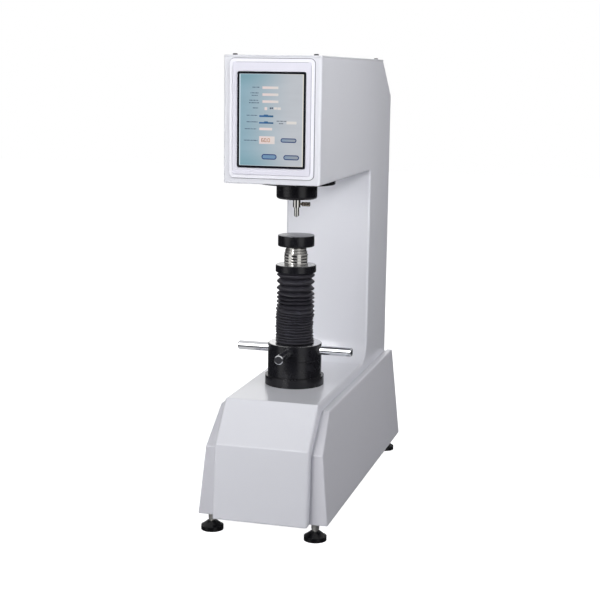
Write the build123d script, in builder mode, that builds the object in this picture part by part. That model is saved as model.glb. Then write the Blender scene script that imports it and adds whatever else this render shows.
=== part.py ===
from build123d import *
import os
from math import cos, pi, radians, sin, tan

os.makedirs("parts", exist_ok=True)

# Bench Rockwell hardness tester. Millimetres, +Z up, -Y is the operator's side, +X the operator's right.
# The origin is on the bench, in the middle of the footprint.

# ---- frame casting -------------------------------------------------------------------------
total_height = 790.0
base_length = 630.0
frame_width = 163.0
head_height = 206.5
head_length = 562.0
column_depth = 180.0
rear_overhang = 15.0
rear_slope_run = 83.0
rear_slope_drop = 68.0
hood_top_z = 219.0
hood_top_setback = 68.0
hood_knee_setback = 11.0
hood_knee_drop = 66.0
frame_bottom_z = 27.0
casting_wall = 8.0
column_foot_radius = 42.0
head_root_radius = 9.0
casting_edge_radius = 4.0
web_from_axis = 91.0
web_from_column = 25.0
web_window_radius = 55.0

# ---- sheet covers and base plate ---------------------------------------------------------
lid_sheet = 3.0
rear_sheet = 3.0
rear_cover_margin = 4.0
cover_flange = 10.0
rear_opening_lift = 33.0
rear_opening_drop = 90.0
rear_cover_lift = 18.0
cover_edge_radius = 1.0
screw_head_radius = 4.0
screw_head_height = 2.4
screw_shank_radius = 2.0
screw_clearance = 0.2
lid_screw_side_inset = 13.5
lid_screw_front_inset = 17.5
lid_screw_rear_inset = 9.0
plate_thickness = 6.0
plate_setback = 21.0
plate_side_gap = 5.5
plate_corner = 8.0

# ---- base skirts ---------------------------------------------------------------------------
skirt_gap = 3.5
base_width = 225.0
skirt_top_drop = 14.7
skirt_top_width = 10.6
skirt_bottom_lift = 0.7
skirt_top_setback = 88.2
skirt_knee_setback = 24.2
skirt_foot_setback = 18.0
skirt_knee_drop = 8.4
skirt_rear_lean = 10.0
skirt_wall = 3.5
skirt_edge_radius = 3.0
skirt_seam_depth = 1.8

# ---- touch display ---------------------------------------------------------------------------
bezel_width = 142.0
bezel_height = 191.4
bezel_bottom_margin = 9.5
bezel_corner = 8.0
bezel_sheet = 2.0
bezel_step = 1.2
bezel_border = 6.0
screen_width = 114.0
screen_height = 153.5
screen_bottom_margin = 26.7
screen_corner = 3.0
screen_border = 3.6
screen_proud = 4.6
screen_clearance = 0.25
glass_recess = 0.8
glass_thickness = 2.0
panel_depth = 7.0
driver_depth = 16.0
driver_inset = 12.0
display_lip = 3.0

# ---- elevating screw, capstan and anvil ------------------------------------------------------
head_front_to_axis = 158.0
screw_radius = 20.5
screw_length = 337.0
screw_cone_height = 14.0
screw_top_radius = 17.0
screw_keyway_width = 8.0
screw_keyway_depth = 4.0
screw_keyway_length = 203.0
key_clearance = 0.1
running_clearance = 0.06
anvil_radius = 32.0
anvil_thickness = 20.0
anvil_lift = 245.0
anvil_chamfer = 1.0
spigot_radius = 12.5
spigot_length = 28.0
flange_radius = 52.2
flange_thickness = 16.0
housing_radius = 47.5
housing_height = 46.0
housing_spigot_radius = 39.0
housing_bore_radius = 27.0
housing_bore_depth = 26.0
seam_gap = 0.5
hub_height = 27.5
hub_edge_radius = 1.5
nut_radius = 29.0
nut_neck_radius = 26.0
nut_length = 50.5
race_inner_radius = 31.0
race_outer_radius = 41.0
race_thickness = 4.0
roller_radius = 3.0
roller_length = 8.0
roller_count = 16
roller_clearance = 0.3
bar_radius = 8.0
bar_reach = 104.0
bar_drop = 12.0
bar_count = 4
bar_stud_radius = 5.0
bar_seat_radius = 46.5
bar_stud_start = 35.0
bar_end_chamfer = 1.5
bellows_drop = 44.5
bellows_outer_radius = 34.0
bellows_root_radius = 27.0
bellows_bore_radius = 22.5
bellows_closed_root_radius = 32.0
bellows_open_folds = 3
bellows_open_pitch = 11.7
bellows_half_folds = 4
bellows_half_pitch = 7.4
bellows_closed_folds = 12
top_ring_radius = 35.7
top_ring_thickness = 12.5

# ---- spindle and indenter --------------------------------------------------------------------
under_plate_radius = 67.0
under_plate_thickness = 10.5
guard_radius = 35.7
guard_height = 26.0
guard_edge_radius = 5.5
spindle_radius = 12.0
spindle_shoulder_drop = 27.5
spindle_nose_radius = 6.75
spindle_nose_drop = 51.5
spindle_top_lift = 80.5
button_radius = 6.0
button_height = 4.2
bush_radius = 20.0
bush_lift = 56.5
bush_flange_radius = 28.0
bush_flange_thickness = 6.0
indenter_radius = 4.5
indenter_length = 15.0
indenter_tip_angle = 120.0
shank_radius = 3.15
shank_length = 16.0
shank_clearance = 0.03
clamp_lift = 6.0
clamp_thread_radius = 2.0
clamp_head_radius = 3.8
clamp_head_start_x = 9.0
clamp_head_end_x = 24.0
arm_gap = 5.0
arm_thickness = 8.0
arm_half_width = 4.0
scale_x = 40.0
scale_sheet = 1.5
scale_length = 34.0
scale_gap = 1.0
encoder_width = 16.0
encoder_depth = 24.0
encoder_height = 42.0

# ---- load train --------------------------------------------------------------------------------
fulcrum_offset = 25.0
fulcrum_lift = 18.0
axle_radius = 6.0
cheek_gap_x = 24.0
cheek_thickness = 10.0
cheek_depth = 30.0
cheek_rise = 12.0
bracket_base = 8.0
lever_half_width = 9.0
lever_pad_gap = 0.3
lever_height = 40.0
lever_nose = 19.0
lever_tail_height = 26.0
lever_hub_half_width = 23.4
pad_depth = 3.5
pad_half_width = 5.0
hanger_from_rear = 88.0
hanger_pin_radius = 5.0
hanger_pin_clearance = 0.9
yoke_plate = 4.0
yoke_gap = 1.0
yoke_half_depth = 12.0
yoke_drop = 24.0
yoke_bridge = 8.0
hanger_rod_radius = 6.0
hanger_rod_length = 344.0
hanger_plate_radius = 34.0
hanger_plate_thickness = 8.0
weight_radius = 58.0
weight_thickness = 30.0
weight_count = 3
weight_bore_clearance = 0.4
weight_gap = 1.0
load_swing_deg = 2.35
cam_turn_deg = 90.0
cam_from_column = 30.0
cam_top_radius = 32.0
cam_half_width = 6.0
cam_gap = 1.2
cam_points = 16
cam_shaft_radius = 5.0
cam_shaft_end_x = 26.0
gearbox_size = 46.0
gearbox_start_x = -12.0
gearbox_end_x = -36.0
motor_radius = 17.0
motor_end_x = -68.0
motor_plate = 4.0

# ---- electrics ---------------------------------------------------------------------------------
inlet_x = -38.0
inlet_lift = 85.0
inlet_flange_width = 50.0
inlet_flange_height = 62.0
inlet_flange = 2.5
inlet_body_width = 40.0
inlet_body_height = 52.0
inlet_body_depth = 30.0
inlet_socket_width = 26.0
inlet_socket_height = 20.0
inlet_socket_depth = 20.0
inlet_socket_drop = 13.0
pin_width = 2.0
pin_height = 4.0
pin_length = 15.0
pin_spacing = 7.0
rocker_lift = 16.0
rocker_width = 22.0
rocker_height = 13.0
rocker_radius = 12.5
rocker_clearance = 0.5
rocker_hub = 4.0
rocker_rise = 1.5
rocker_pivot_radius = 1.5
rocker_pivot_length = 1.5
rocker_pivot_clearance = 0.1
supply_width = 110.0
supply_length = 78.0
supply_height = 52.0
supply_setback = 27.0
board_width = 120.0
board_length = 90.0
board_thickness = 1.6
board_from_axis = 44.0
board_standoff = 12.0
standoff_radius = 3.0

# ---- levelling feet --------------------------------------------------------------------------
foot_inset_x = 22.5
foot_front_setback = 27.0
foot_rear_setback = 40.0
pad_radius = 19.0
pad_rim = 7.5
pad_shoulder_radius = 18.2
pad_neck_radius = 8.2
pad_height = 15.2
stud_radius = 4.0
stud_bottom_z = 9.0
stud_end_gap = 0.5
lock_nut_flats = 12.0
lock_nut_height = 8.5
stud_clearance = 0.1

# ---- places worked out from the sizes above --------------------------------------------------------
half_length = base_length / 2
frame_half = frame_width / 2
column_rear_y = half_length - rear_overhang
column_front_y = column_rear_y - column_depth
head_front_y = column_rear_y - head_length
head_top_rear_y = column_rear_y - rear_slope_run
head_bottom_z = total_height - head_height
rear_slope_z = total_height - rear_slope_drop
hood_top_front_y = hood_top_setback - half_length
hood_knee_y = hood_knee_setback - half_length
hood_knee_z = hood_top_z - hood_knee_drop
casting_top_z = total_height - lid_sheet
casting_rear_y = column_rear_y - rear_sheet
cavity_half = frame_half - casting_wall
head_floor_z = head_bottom_z + casting_wall
axis_y = head_front_y + head_front_to_axis
web_front_y = axis_y - web_from_axis
web_rear_y = column_front_y - web_from_column
rear_opening_bottom_z = frame_bottom_z + rear_opening_lift
rear_opening_top_z = total_height - rear_opening_drop
rear_cover_bottom_z = frame_bottom_z + rear_cover_lift

plate_top_z = frame_bottom_z + plate_thickness
plate_front_y = plate_setback - half_length
plate_rear_y = casting_rear_y
skirt_foot_x = base_width / 2
plate_half_width = skirt_foot_x - plate_side_gap
skirt_inner_x = frame_half + skirt_gap
skirt_outer_x = skirt_inner_x + skirt_top_width
skirt_top_z = hood_top_z - skirt_top_drop
skirt_bottom_z = frame_bottom_z + skirt_bottom_lift
skirt_knee_z = hood_knee_z - skirt_knee_drop
skirt_front_top_y = skirt_top_setback - half_length
skirt_knee_y = skirt_knee_setback - half_length
skirt_foot_y = skirt_foot_setback - half_length
skirt_rear_top_y = half_length - skirt_rear_lean

housing_bottom_z = hood_top_z - casting_wall
housing_top_z = hood_top_z + housing_height
housing_bore_floor_z = housing_top_z - housing_bore_depth
flange_top_z = hood_top_z + flange_thickness
hub_bottom_z = housing_top_z + seam_gap
hub_top_z = hub_bottom_z + hub_height
bar_z = hub_top_z - bar_drop
nut_bottom_z = hub_top_z - hub_edge_radius - nut_length
race_top_z = housing_top_z - roller_radius
roller_z = race_top_z + roller_clearance + roller_radius
upper_race_z = roller_z + roller_radius
hub_pocket_z = upper_race_z + race_thickness
anvil_bottom_z = hood_top_z + anvil_lift
anvil_top_z = anvil_bottom_z + anvil_thickness
screw_bottom_z = anvil_bottom_z - screw_length
screw_cone_z = anvil_bottom_z - screw_cone_height
screw_keyway_top_z = screw_bottom_z + screw_keyway_length
bellows_top_z = anvil_bottom_z - bellows_drop

under_plate_bottom_z = head_bottom_z - under_plate_thickness
guard_bottom_z = under_plate_bottom_z - guard_height
spindle_shoulder_z = head_bottom_z - spindle_shoulder_drop
spindle_nose_z = head_bottom_z - spindle_nose_drop
spindle_top_z = head_bottom_z + spindle_top_lift
bush_top_z = head_bottom_z + bush_lift
clamp_z = spindle_nose_z + clamp_lift
arm_z = bush_top_z + arm_gap
indenter_bottom_z = spindle_nose_z - indenter_length

fulcrum_y = axis_y - fulcrum_offset
lever_bottom_z = spindle_top_z + button_height + lever_pad_gap + pad_depth
fulcrum_z = lever_bottom_z + fulcrum_lift
cheek_top_z = fulcrum_z + cheek_rise
lever_nose_y = fulcrum_y - lever_nose
hanger_y = column_rear_y - hanger_from_rear
yoke_bottom_z = lever_bottom_z - yoke_drop
hanger_bottom_z = yoke_bottom_z - yoke_bridge - hanger_rod_length
swing = radians(load_swing_deg)
cam_y = column_front_y + cam_from_column
cam_drop = (cam_y - fulcrum_y) * swing
cam_axis_z = lever_bottom_z - cam_gap - cam_top_radius

inlet_z = frame_bottom_z + inlet_lift
inlet_socket_z = inlet_z - inlet_socket_drop
rocker_z = inlet_z + rocker_lift
supply_front_y = supply_setback - half_length
board_front_y = axis_y + board_from_axis
foot_x = skirt_foot_x - foot_inset_x
foot_front_y = foot_front_setback - half_length
foot_rear_y = half_length - foot_rear_setback
pad_top_z = pad_height
stud_top_z = plate_top_z - stud_end_gap

spindle_plane = Plane(origin=(0, axis_y, 0), x_dir=(1, 0, 0), z_dir=(0, -1, 0))
spindle_line = Axis((0, axis_y, 0), (0, 0, 1))


def save(piece, name):
    piece.part.label = name
    export_step(piece.part, f"parts/{name}.step")


def block(xs, ys, zs, mode=Mode.ADD):
    """A box between two limits along each axis, in the part that is open."""
    spans = (xs, ys, zs)
    centre = tuple((low + high) / 2 for low, high in spans)
    with Locations(centre):
        Box(*(abs(high - low) for low, high in spans), mode=mode)


def rod(start, direction, radius, length, mode=Mode.ADD):
    """A round bar from a point along a direction, in the part that is open."""
    with BuildSketch(Plane(origin=start, z_dir=direction)) as section:
        Circle(radius)
    extrude(section.sketch, amount=length, mode=mode)


def turned(points, plane=spindle_plane, line=spindle_line, mode=Mode.ADD):
    """A lathe profile of (radius, height) points turned about a line, in the part that is open."""
    with BuildSketch(plane) as section:
        with BuildLine():
            Polyline(*points, close=True)
        make_face()
    revolve(section.sketch, axis=line, mode=mode)


def side_slab(points, half_width, mode=Mode.ADD):
    """A side view of (y, z) points extruded equally to both sides of the middle plane."""
    with BuildSketch(Plane.YZ) as section:
        with BuildLine():
            Polyline(*points, close=True)
        make_face()
    extrude(section.sketch, amount=half_width, both=True, mode=mode)


# ==== main frame: the C-shaped casting ============================================================
with BuildSketch(Plane.YZ) as c_outline:
    with BuildLine():
        Polyline(
            (-half_length, frame_bottom_z),
            (hood_knee_y, hood_knee_z),
            (hood_top_front_y, hood_top_z),
            (column_front_y, hood_top_z),
            (column_front_y, head_bottom_z),
            (head_front_y, head_bottom_z),
            (head_front_y, casting_top_z),
            (head_top_rear_y, casting_top_z),
            (casting_rear_y, rear_slope_z),
            (casting_rear_y, frame_bottom_z),
            close=True,
        )
    make_face()
    fillet(c_outline.vertices().sort_by_distance((column_front_y, hood_top_z))[0], column_foot_radius)
    fillet(c_outline.vertices().sort_by_distance((column_front_y, head_bottom_z))[0], head_root_radius)

with BuildPart() as main_frame:
    extrude(c_outline.sketch, amount=frame_half, both=True)
    side_edges = [
        edge
        for side in (main_frame.faces().sort_by(Axis.X)[0], main_frame.faces().sort_by(Axis.X)[-1])
        for edge in side.edges()
        if frame_bottom_z + 1 < edge.center().Z < casting_top_z - casting_edge_radius
    ]
    fillet(side_edges, casting_edge_radius)
    with BuildSketch(Plane.YZ) as cavity:
        add(c_outline.sketch_local)
        offset(amount=-casting_wall, kind=Kind.INTERSECTION)
    extrude(amount=cavity_half, both=True, mode=Mode.SUBTRACT)
    for web_y in (web_front_y, web_rear_y):
        block(
            (-cavity_half, cavity_half),
            (web_y - casting_wall / 2, web_y + casting_wall / 2),
            (plate_top_z, hood_top_z - casting_wall),
        )
        rod(
            (0, web_y - casting_wall, (plate_top_z + hood_top_z) / 2),
            (0, 1, 0),
            web_window_radius,
            2 * casting_wall,
            mode=Mode.SUBTRACT,
        )
    block(
        (cover_flange - cavity_half, cavity_half - cover_flange),
        (head_front_y + casting_wall + cover_flange, head_top_rear_y - cover_flange),
        (casting_top_z - 2 * casting_wall, casting_top_z),
        mode=Mode.SUBTRACT,
    )
    block(
        (cover_flange - cavity_half, cavity_half - cover_flange),
        (casting_rear_y - 2 * casting_wall, casting_rear_y),
        (rear_opening_bottom_z, rear_opening_top_z),
        mode=Mode.SUBTRACT,
    )
    block(
        (-frame_half, frame_half),
        (plate_front_y, casting_rear_y),
        (frame_bottom_z, plate_top_z),
        mode=Mode.SUBTRACT,
    )
    block(
        (-cavity_half, cavity_half),
        (hood_knee_y, casting_rear_y - casting_wall),
        (frame_bottom_z, plate_top_z + casting_wall),
        mode=Mode.SUBTRACT,
    )
    for web_y in (web_front_y, web_rear_y):
        block(
            (-cavity_half, cavity_half),
            (web_y - casting_wall / 2, web_y + casting_wall / 2),
            (plate_top_z, plate_top_z + 2 * casting_wall),
        )
    rod((0, axis_y, head_bottom_z), (0, 0, 1), bush_radius, casting_wall, mode=Mode.SUBTRACT)
    rod((0, axis_y, housing_bottom_z), (0, 0, 1), housing_spigot_radius, casting_wall, mode=Mode.SUBTRACT)
    screen_centre_z = head_bottom_z + screen_bottom_margin + screen_height / 2
    block(
        (display_lip - screen_width / 2, screen_width / 2 - display_lip),
        (head_front_y, head_front_y + casting_wall),
        (
            screen_centre_z - screen_height / 2 + display_lip,
            screen_centre_z + screen_height / 2 - display_lip,
        ),
        mode=Mode.SUBTRACT,
    )
save(main_frame, "main_frame")


# ==== base skirts ==================================================================================
skirt_drop = 4 * skirt_wall
skirt_low_z = skirt_bottom_z - skirt_drop
skirt_height = skirt_top_z - skirt_bottom_z
front_spread = (skirt_knee_y - skirt_foot_y) * skirt_drop / (skirt_knee_z - skirt_bottom_z)
side_spread = (skirt_foot_x - skirt_outer_x) * skirt_drop / skirt_height
rear_spread = skirt_rear_lean * skirt_drop / skirt_height

with BuildSketch(Plane.YZ) as skirt_side_view:
    with BuildLine():
        Polyline(
            (skirt_front_top_y, skirt_top_z),
            (skirt_knee_y, skirt_knee_z),
            (skirt_foot_y - front_spread, skirt_low_z),
            (half_length + rear_spread, skirt_low_z),
            (skirt_rear_top_y, skirt_top_z),
            close=True,
        )
    make_face()


def skirt_block(inset):
    """The skirt's outer form with every face moved inwards by an inset, open below."""
    with BuildPart() as form:
        with BuildSketch(Plane.XZ):
            with BuildLine():
                Polyline(
                    (skirt_inner_x, skirt_top_z),
                    (skirt_outer_x, skirt_top_z),
                    (skirt_foot_x + side_spread, skirt_low_z),
                    (skirt_inner_x, skirt_low_z),
                    close=True,
                )
            make_face()
            if inset:
                offset(amount=-inset, kind=Kind.INTERSECTION)
        extrude(amount=base_length, both=True)
        with BuildSketch(Plane.YZ):
            add(skirt_side_view.sketch_local)
            if inset:
                offset(amount=-inset, kind=Kind.INTERSECTION)
        extrude(amount=base_width, mode=Mode.INTERSECT)
    return form.part


with BuildPart() as skirt_right:
    add(skirt_block(0))
    outer_edges = skirt_right.edges().filter_by(
        lambda edge: edge.center().X > skirt_inner_x + 1 and edge.center().Z > skirt_bottom_z
    )
    fillet(outer_edges, skirt_edge_radius)
    add(skirt_block(skirt_wall), mode=Mode.SUBTRACT)
    with BuildSketch(Plane.YZ.offset(frame_half)):
        add(skirt_side_view.sketch_local)
        offset(amount=-skirt_seam_depth, kind=Kind.INTERSECTION)
    extrude(amount=skirt_gap + skirt_wall)
    split(bisect_by=Plane.XY.offset(skirt_bottom_z), keep=Keep.TOP)
    block(
        (frame_half, skirt_inner_x),
        (casting_rear_y, half_length),
        (skirt_bottom_z, skirt_top_z),
        mode=Mode.SUBTRACT,
    )
    block(
        (frame_half, plate_half_width + seam_gap),
        (plate_front_y - seam_gap, casting_rear_y),
        (skirt_bottom_z, plate_top_z),
        mode=Mode.SUBTRACT,
    )
save(skirt_right, "skirt_right")

with BuildPart() as skirt_left:
    mirror(skirt_right.part, about=Plane.YZ)
save(skirt_left, "skirt_left")


# ==== base plate ====================================================================================
foot_places = [(x, y) for y in (foot_front_y, foot_rear_y) for x in (-foot_x, foot_x)]

with BuildPart() as base_plate:
    with BuildSketch(Plane.XY.offset(frame_bottom_z)):
        with BuildLine():
            Polyline(
                (-plate_half_width, plate_rear_y),
                (-plate_half_width, plate_front_y + plate_corner),
                (-plate_half_width + plate_corner, plate_front_y),
                (plate_half_width - plate_corner, plate_front_y),
                (plate_half_width, plate_front_y + plate_corner),
                (plate_half_width, plate_rear_y),
                close=True,
            )
        make_face()
        with Locations(*foot_places):
            Circle(stud_radius + stud_clearance, mode=Mode.SUBTRACT)
    extrude(amount=plate_thickness)
save(base_plate, "base_plate")


# ==== top and rear covers ===========================================================================
lid_centre_y = (head_front_y + head_top_rear_y) / 2
lid_length = head_top_rear_y - head_front_y
lid_screw_x = frame_half - lid_screw_side_inset
lid_screw_places = [
    (x, y)
    for y in (head_front_y + lid_screw_front_inset, head_top_rear_y - lid_screw_rear_inset)
    for x in (-lid_screw_x, lid_screw_x)
]

with BuildPart() as top_cover:
    with BuildSketch(Plane.XY.offset(casting_top_z)):
        with Locations((0, lid_centre_y)):
            RectangleRounded(frame_width, lid_length, casting_edge_radius)
        with Locations(*lid_screw_places):
            Circle(screw_shank_radius + screw_clearance, mode=Mode.SUBTRACT)
    extrude(amount=lid_sheet)
    chamfer(top_cover.faces().sort_by(Axis.Z)[-1].outer_wire().edges(), cover_edge_radius)
save(top_cover, "top_cover")

with BuildPart() as top_cover_screws:
    with Locations(*[(x, y, total_height) for x, y in lid_screw_places]):
        Cylinder(screw_head_radius, screw_head_height, align=(Align.CENTER, Align.CENTER, Align.MIN))
        Cylinder(screw_shank_radius, lid_sheet, align=(Align.CENTER, Align.CENTER, Align.MAX))
    chamfer(top_cover_screws.faces().group_by(Axis.Z)[-1].edges(), screw_head_height / 3)
save(top_cover_screws, "top_cover_screws")

rear_half = frame_half - rear_cover_margin
with BuildPart() as rear_cover:
    with BuildSketch(Plane.YZ) as rear_sheet_section:
        with BuildLine():
            path = Polyline(
                (head_top_rear_y, casting_top_z),
                (casting_rear_y, rear_slope_z),
                (casting_rear_y, rear_cover_bottom_z),
            )
            offset(path, amount=rear_sheet, side=Side.LEFT, kind=Kind.INTERSECTION)
        make_face()
    extrude(amount=rear_half, both=True)
    block(
        (inlet_x - inlet_body_width / 2, inlet_x + inlet_body_width / 2),
        (casting_rear_y, column_rear_y),
        (inlet_z - inlet_body_height / 2, inlet_z + inlet_body_height / 2),
        mode=Mode.SUBTRACT,
    )
save(rear_cover, "rear_cover")

rear_screw_x = rear_half - cover_flange
rear_screw_heights = (rear_cover_bottom_z, hood_top_z, rear_opening_top_z)
rear_screw_places = [
    (x, height + cover_flange) for height in rear_screw_heights for x in (-rear_screw_x, rear_screw_x)
]
with BuildPart() as rear_cover_screws:
    with BuildSketch(Plane(origin=(0, column_rear_y, 0), x_dir=(-1, 0, 0), z_dir=(0, 1, 0))):
        with Locations(*rear_screw_places):
            Circle(screw_head_radius)
    extrude(amount=screw_head_height)
    chamfer(rear_cover_screws.faces().group_by(Axis.Y)[-1].edges(), screw_head_height / 3)
save(rear_cover_screws, "rear_cover_screws")


# ==== display: bezel, frame, glass and module =======================================================
bezel_bottom_z = head_bottom_z + bezel_bottom_margin
bezel_centre_z = bezel_bottom_z + bezel_height / 2
front_plane = Plane(origin=(0, head_front_y, 0), x_dir=(1, 0, 0), z_dir=(0, -1, 0))
active_width = screen_width - 2 * screen_border
active_height = screen_height - 2 * screen_border

with BuildPart() as bezel_plate:
    with BuildSketch(front_plane) as bezel_outline:
        with Locations((0, bezel_centre_z)):
            RectangleRounded(bezel_width, bezel_height, bezel_corner)
    extrude(amount=bezel_sheet)
    with BuildSketch(front_plane.offset(bezel_sheet)) as raised_pad:
        with Locations((0, bezel_centre_z)):
            RectangleRounded(
                bezel_width - 2 * bezel_border,
                bezel_height - 2 * bezel_border,
                bezel_corner - bezel_border / 2,
            )
    extrude(amount=bezel_step)
    with BuildSketch(front_plane) as screen_window:
        with Locations((0, screen_centre_z)):
            RectangleRounded(
                screen_width + 2 * screen_clearance, screen_height + 2 * screen_clearance, screen_corner
            )
    extrude(amount=bezel_sheet + bezel_step, mode=Mode.SUBTRACT)
save(bezel_plate, "bezel_plate")

with BuildPart() as display_frame:
    with BuildSketch(front_plane) as frame_ring:
        with Locations((0, screen_centre_z)):
            RectangleRounded(screen_width, screen_height, screen_corner)
            Rectangle(active_width, active_height, mode=Mode.SUBTRACT)
    extrude(amount=screen_proud)
    front_rim = display_frame.faces().sort_by(Axis.Y)[0]
    chamfer(front_rim.inner_wires().edges(), glass_recess)
save(display_frame, "display_frame")

glass_front = screen_proud - glass_recess - glass_thickness
with BuildPart() as display_glass:
    with BuildSketch(front_plane.offset(glass_front)) as glass_outline:
        with Locations((0, screen_centre_z)):
            Rectangle(active_width, active_height)
    extrude(amount=glass_thickness)
save(display_glass, "display_glass")

with BuildPart() as display_module:
    block(
        (display_lip - screen_width / 2, screen_width / 2 - display_lip),
        (head_front_y, head_front_y + panel_depth),
        (
            screen_centre_z - screen_height / 2 + display_lip,
            screen_centre_z + screen_height / 2 - display_lip,
        ),
    )
    block(
        (driver_inset - screen_width / 2, screen_width / 2 - driver_inset),
        (head_front_y + panel_depth, head_front_y + panel_depth + driver_depth),
        (
            screen_centre_z - screen_height / 2 + driver_inset,
            screen_centre_z + screen_height / 2 - driver_inset,
        ),
    )
    block(
        (-active_width / 2, active_width / 2),
        (head_front_y - glass_front, head_front_y),
        (screen_centre_z - active_height / 2, screen_centre_z + active_height / 2),
    )
save(display_module, "display_module")


# ==== spindle, guard and indenter ====================================================================
with BuildPart() as under_head_plate:
    rod((0, axis_y, under_plate_bottom_z), (0, 0, 1), under_plate_radius, under_plate_thickness)
    chamfer(under_head_plate.faces().sort_by(Axis.Z)[0].edges(), cover_edge_radius)
    rod(
        (0, axis_y, under_plate_bottom_z),
        (0, 0, 1),
        spindle_radius + seam_gap,
        under_plate_thickness,
        mode=Mode.SUBTRACT,
    )
save(under_head_plate, "under_head_plate")

with BuildPart() as spindle_guard:
    rod((0, axis_y, guard_bottom_z), (0, 0, 1), guard_radius, under_plate_bottom_z - guard_bottom_z)
    fillet(spindle_guard.faces().sort_by(Axis.Z)[0].edges(), guard_edge_radius)
    rod(
        (0, axis_y, guard_bottom_z),
        (0, 0, 1),
        spindle_radius + seam_gap,
        under_plate_bottom_z - guard_bottom_z,
        mode=Mode.SUBTRACT,
    )
save(spindle_guard, "spindle_guard")

with BuildPart() as spindle_bush:
    rod((0, axis_y, head_bottom_z), (0, 0, 1), bush_radius, bush_top_z - head_bottom_z)
    rod((0, axis_y, head_floor_z), (0, 0, 1), bush_flange_radius, bush_flange_thickness)
    rod(
        (0, axis_y, head_bottom_z),
        (0, 0, 1),
        spindle_radius + running_clearance,
        bush_top_z - head_bottom_z,
        mode=Mode.SUBTRACT,
    )
    block(
        (-bush_flange_radius, bush_flange_radius),
        (axis_y - bush_flange_radius, axis_y - bush_radius),
        (head_floor_z, head_floor_z + bush_flange_thickness),
        mode=Mode.SUBTRACT,
    )
save(spindle_bush, "spindle_bush")

with BuildPart() as spindle:
    turned(
        (
            (0, spindle_nose_z),
            (spindle_nose_radius, spindle_nose_z),
            (spindle_nose_radius, spindle_shoulder_z),
            (spindle_radius, spindle_shoulder_z),
            (spindle_radius, spindle_top_z),
            (button_radius, spindle_top_z),
            (button_radius, spindle_top_z + button_height),
            (0, spindle_top_z + button_height),
        )
    )
    rod(
        (0, axis_y, spindle_nose_z),
        (0, 0, 1),
        shank_radius + shank_clearance,
        shank_length + seam_gap,
        mode=Mode.SUBTRACT,
    )
    rod(
        (0, axis_y, clamp_z),
        (1, 0, 0),
        clamp_thread_radius + running_clearance,
        2 * spindle_nose_radius,
        mode=Mode.SUBTRACT,
    )
save(spindle, "spindle")

tip_height = indenter_radius / tan(radians(indenter_tip_angle / 2))
with BuildPart() as indenter:
    turned(
        (
            (0, indenter_bottom_z - tip_height),
            (indenter_radius, indenter_bottom_z),
            (indenter_radius, spindle_nose_z),
            (shank_radius, spindle_nose_z),
            (shank_radius, spindle_nose_z + shank_length),
            (0, spindle_nose_z + shank_length),
        )
    )
save(indenter, "indenter")

with BuildPart() as indenter_clamp_screw:
    rod(
        (shank_radius + shank_clearance + running_clearance, axis_y, clamp_z),
        (1, 0, 0),
        clamp_thread_radius,
        clamp_head_start_x - shank_radius,
    )
    rod(
        (clamp_head_start_x, axis_y, clamp_z),
        (1, 0, 0),
        clamp_head_radius,
        clamp_head_end_x - clamp_head_start_x,
    )
    chamfer(indenter_clamp_screw.faces().sort_by(Axis.X)[-1].edges(), cover_edge_radius / 2)
save(indenter_clamp_screw, "indenter_clamp_screw")

with BuildPart() as depth_scale:
    rod((0, axis_y, arm_z), (0, 0, 1), bush_radius, arm_thickness)
    block(
        (0, scale_x + scale_sheet),
        (axis_y - arm_half_width, axis_y + arm_half_width),
        (arm_z, arm_z + arm_thickness),
    )
    block(
        (scale_x, scale_x + scale_sheet),
        (axis_y - arm_half_width, axis_y + arm_half_width),
        (arm_z - scale_length, arm_z),
    )
    rod((0, axis_y, arm_z), (0, 0, 1), spindle_radius, arm_thickness, mode=Mode.SUBTRACT)
save(depth_scale, "depth_scale")

encoder_start_x = scale_x + scale_sheet + scale_gap
with BuildPart() as depth_encoder:
    block(
        (encoder_start_x, encoder_start_x + encoder_width),
        (axis_y - encoder_depth / 2, axis_y + encoder_depth / 2),
        (head_floor_z, head_floor_z + encoder_height),
    )
    chamfer(depth_encoder.edges().filter_by(Axis.Z), cover_edge_radius)
save(depth_encoder, "depth_encoder")


# ==== capstan, nut, thrust bearing and bars ==========================================================
with BuildPart() as screw_housing:
    turned(
        (
            (screw_radius + running_clearance, housing_bottom_z),
            (housing_spigot_radius, housing_bottom_z),
            (housing_spigot_radius, hood_top_z),
            (flange_radius, hood_top_z),
            (flange_radius, flange_top_z),
            (housing_radius, flange_top_z),
            (housing_radius, housing_top_z),
            (race_outer_radius, housing_top_z),
            (race_outer_radius, race_top_z - race_thickness),
            (housing_bore_radius, race_top_z - race_thickness),
            (housing_bore_radius, housing_bore_floor_z),
            (screw_radius + running_clearance, housing_bore_floor_z),
        )
    )
    key_half = screw_keyway_width / 2
    block(
        (-key_half, key_half),
        (axis_y + screw_radius - screw_keyway_depth, axis_y + housing_bore_radius),
        (housing_bottom_z, housing_bore_floor_z),
        mode=Mode.SUBTRACT,
    )
save(screw_housing, "screw_housing")

with BuildPart() as screw_key:
    block(
        (-key_half, key_half),
        (axis_y + screw_radius - screw_keyway_depth + key_clearance, axis_y + housing_bore_radius),
        (housing_bottom_z, housing_bore_floor_z),
    )
save(screw_key, "screw_key")

with BuildPart() as lower_race:
    turned(
        (
            (race_inner_radius, race_top_z - race_thickness),
            (race_outer_radius, race_top_z - race_thickness),
            (race_outer_radius, race_top_z),
            (race_inner_radius, race_top_z),
        )
    )
save(lower_race, "lower_race")

roller_circle = (race_inner_radius + race_outer_radius) / 2
with BuildPart() as bearing_rollers:
    with Locations((0, axis_y, roller_z)):
        with PolarLocations(roller_circle, roller_count):
            Cylinder(roller_radius, roller_length, rotation=(0, 90, 0))
save(bearing_rollers, "bearing_rollers")

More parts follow.
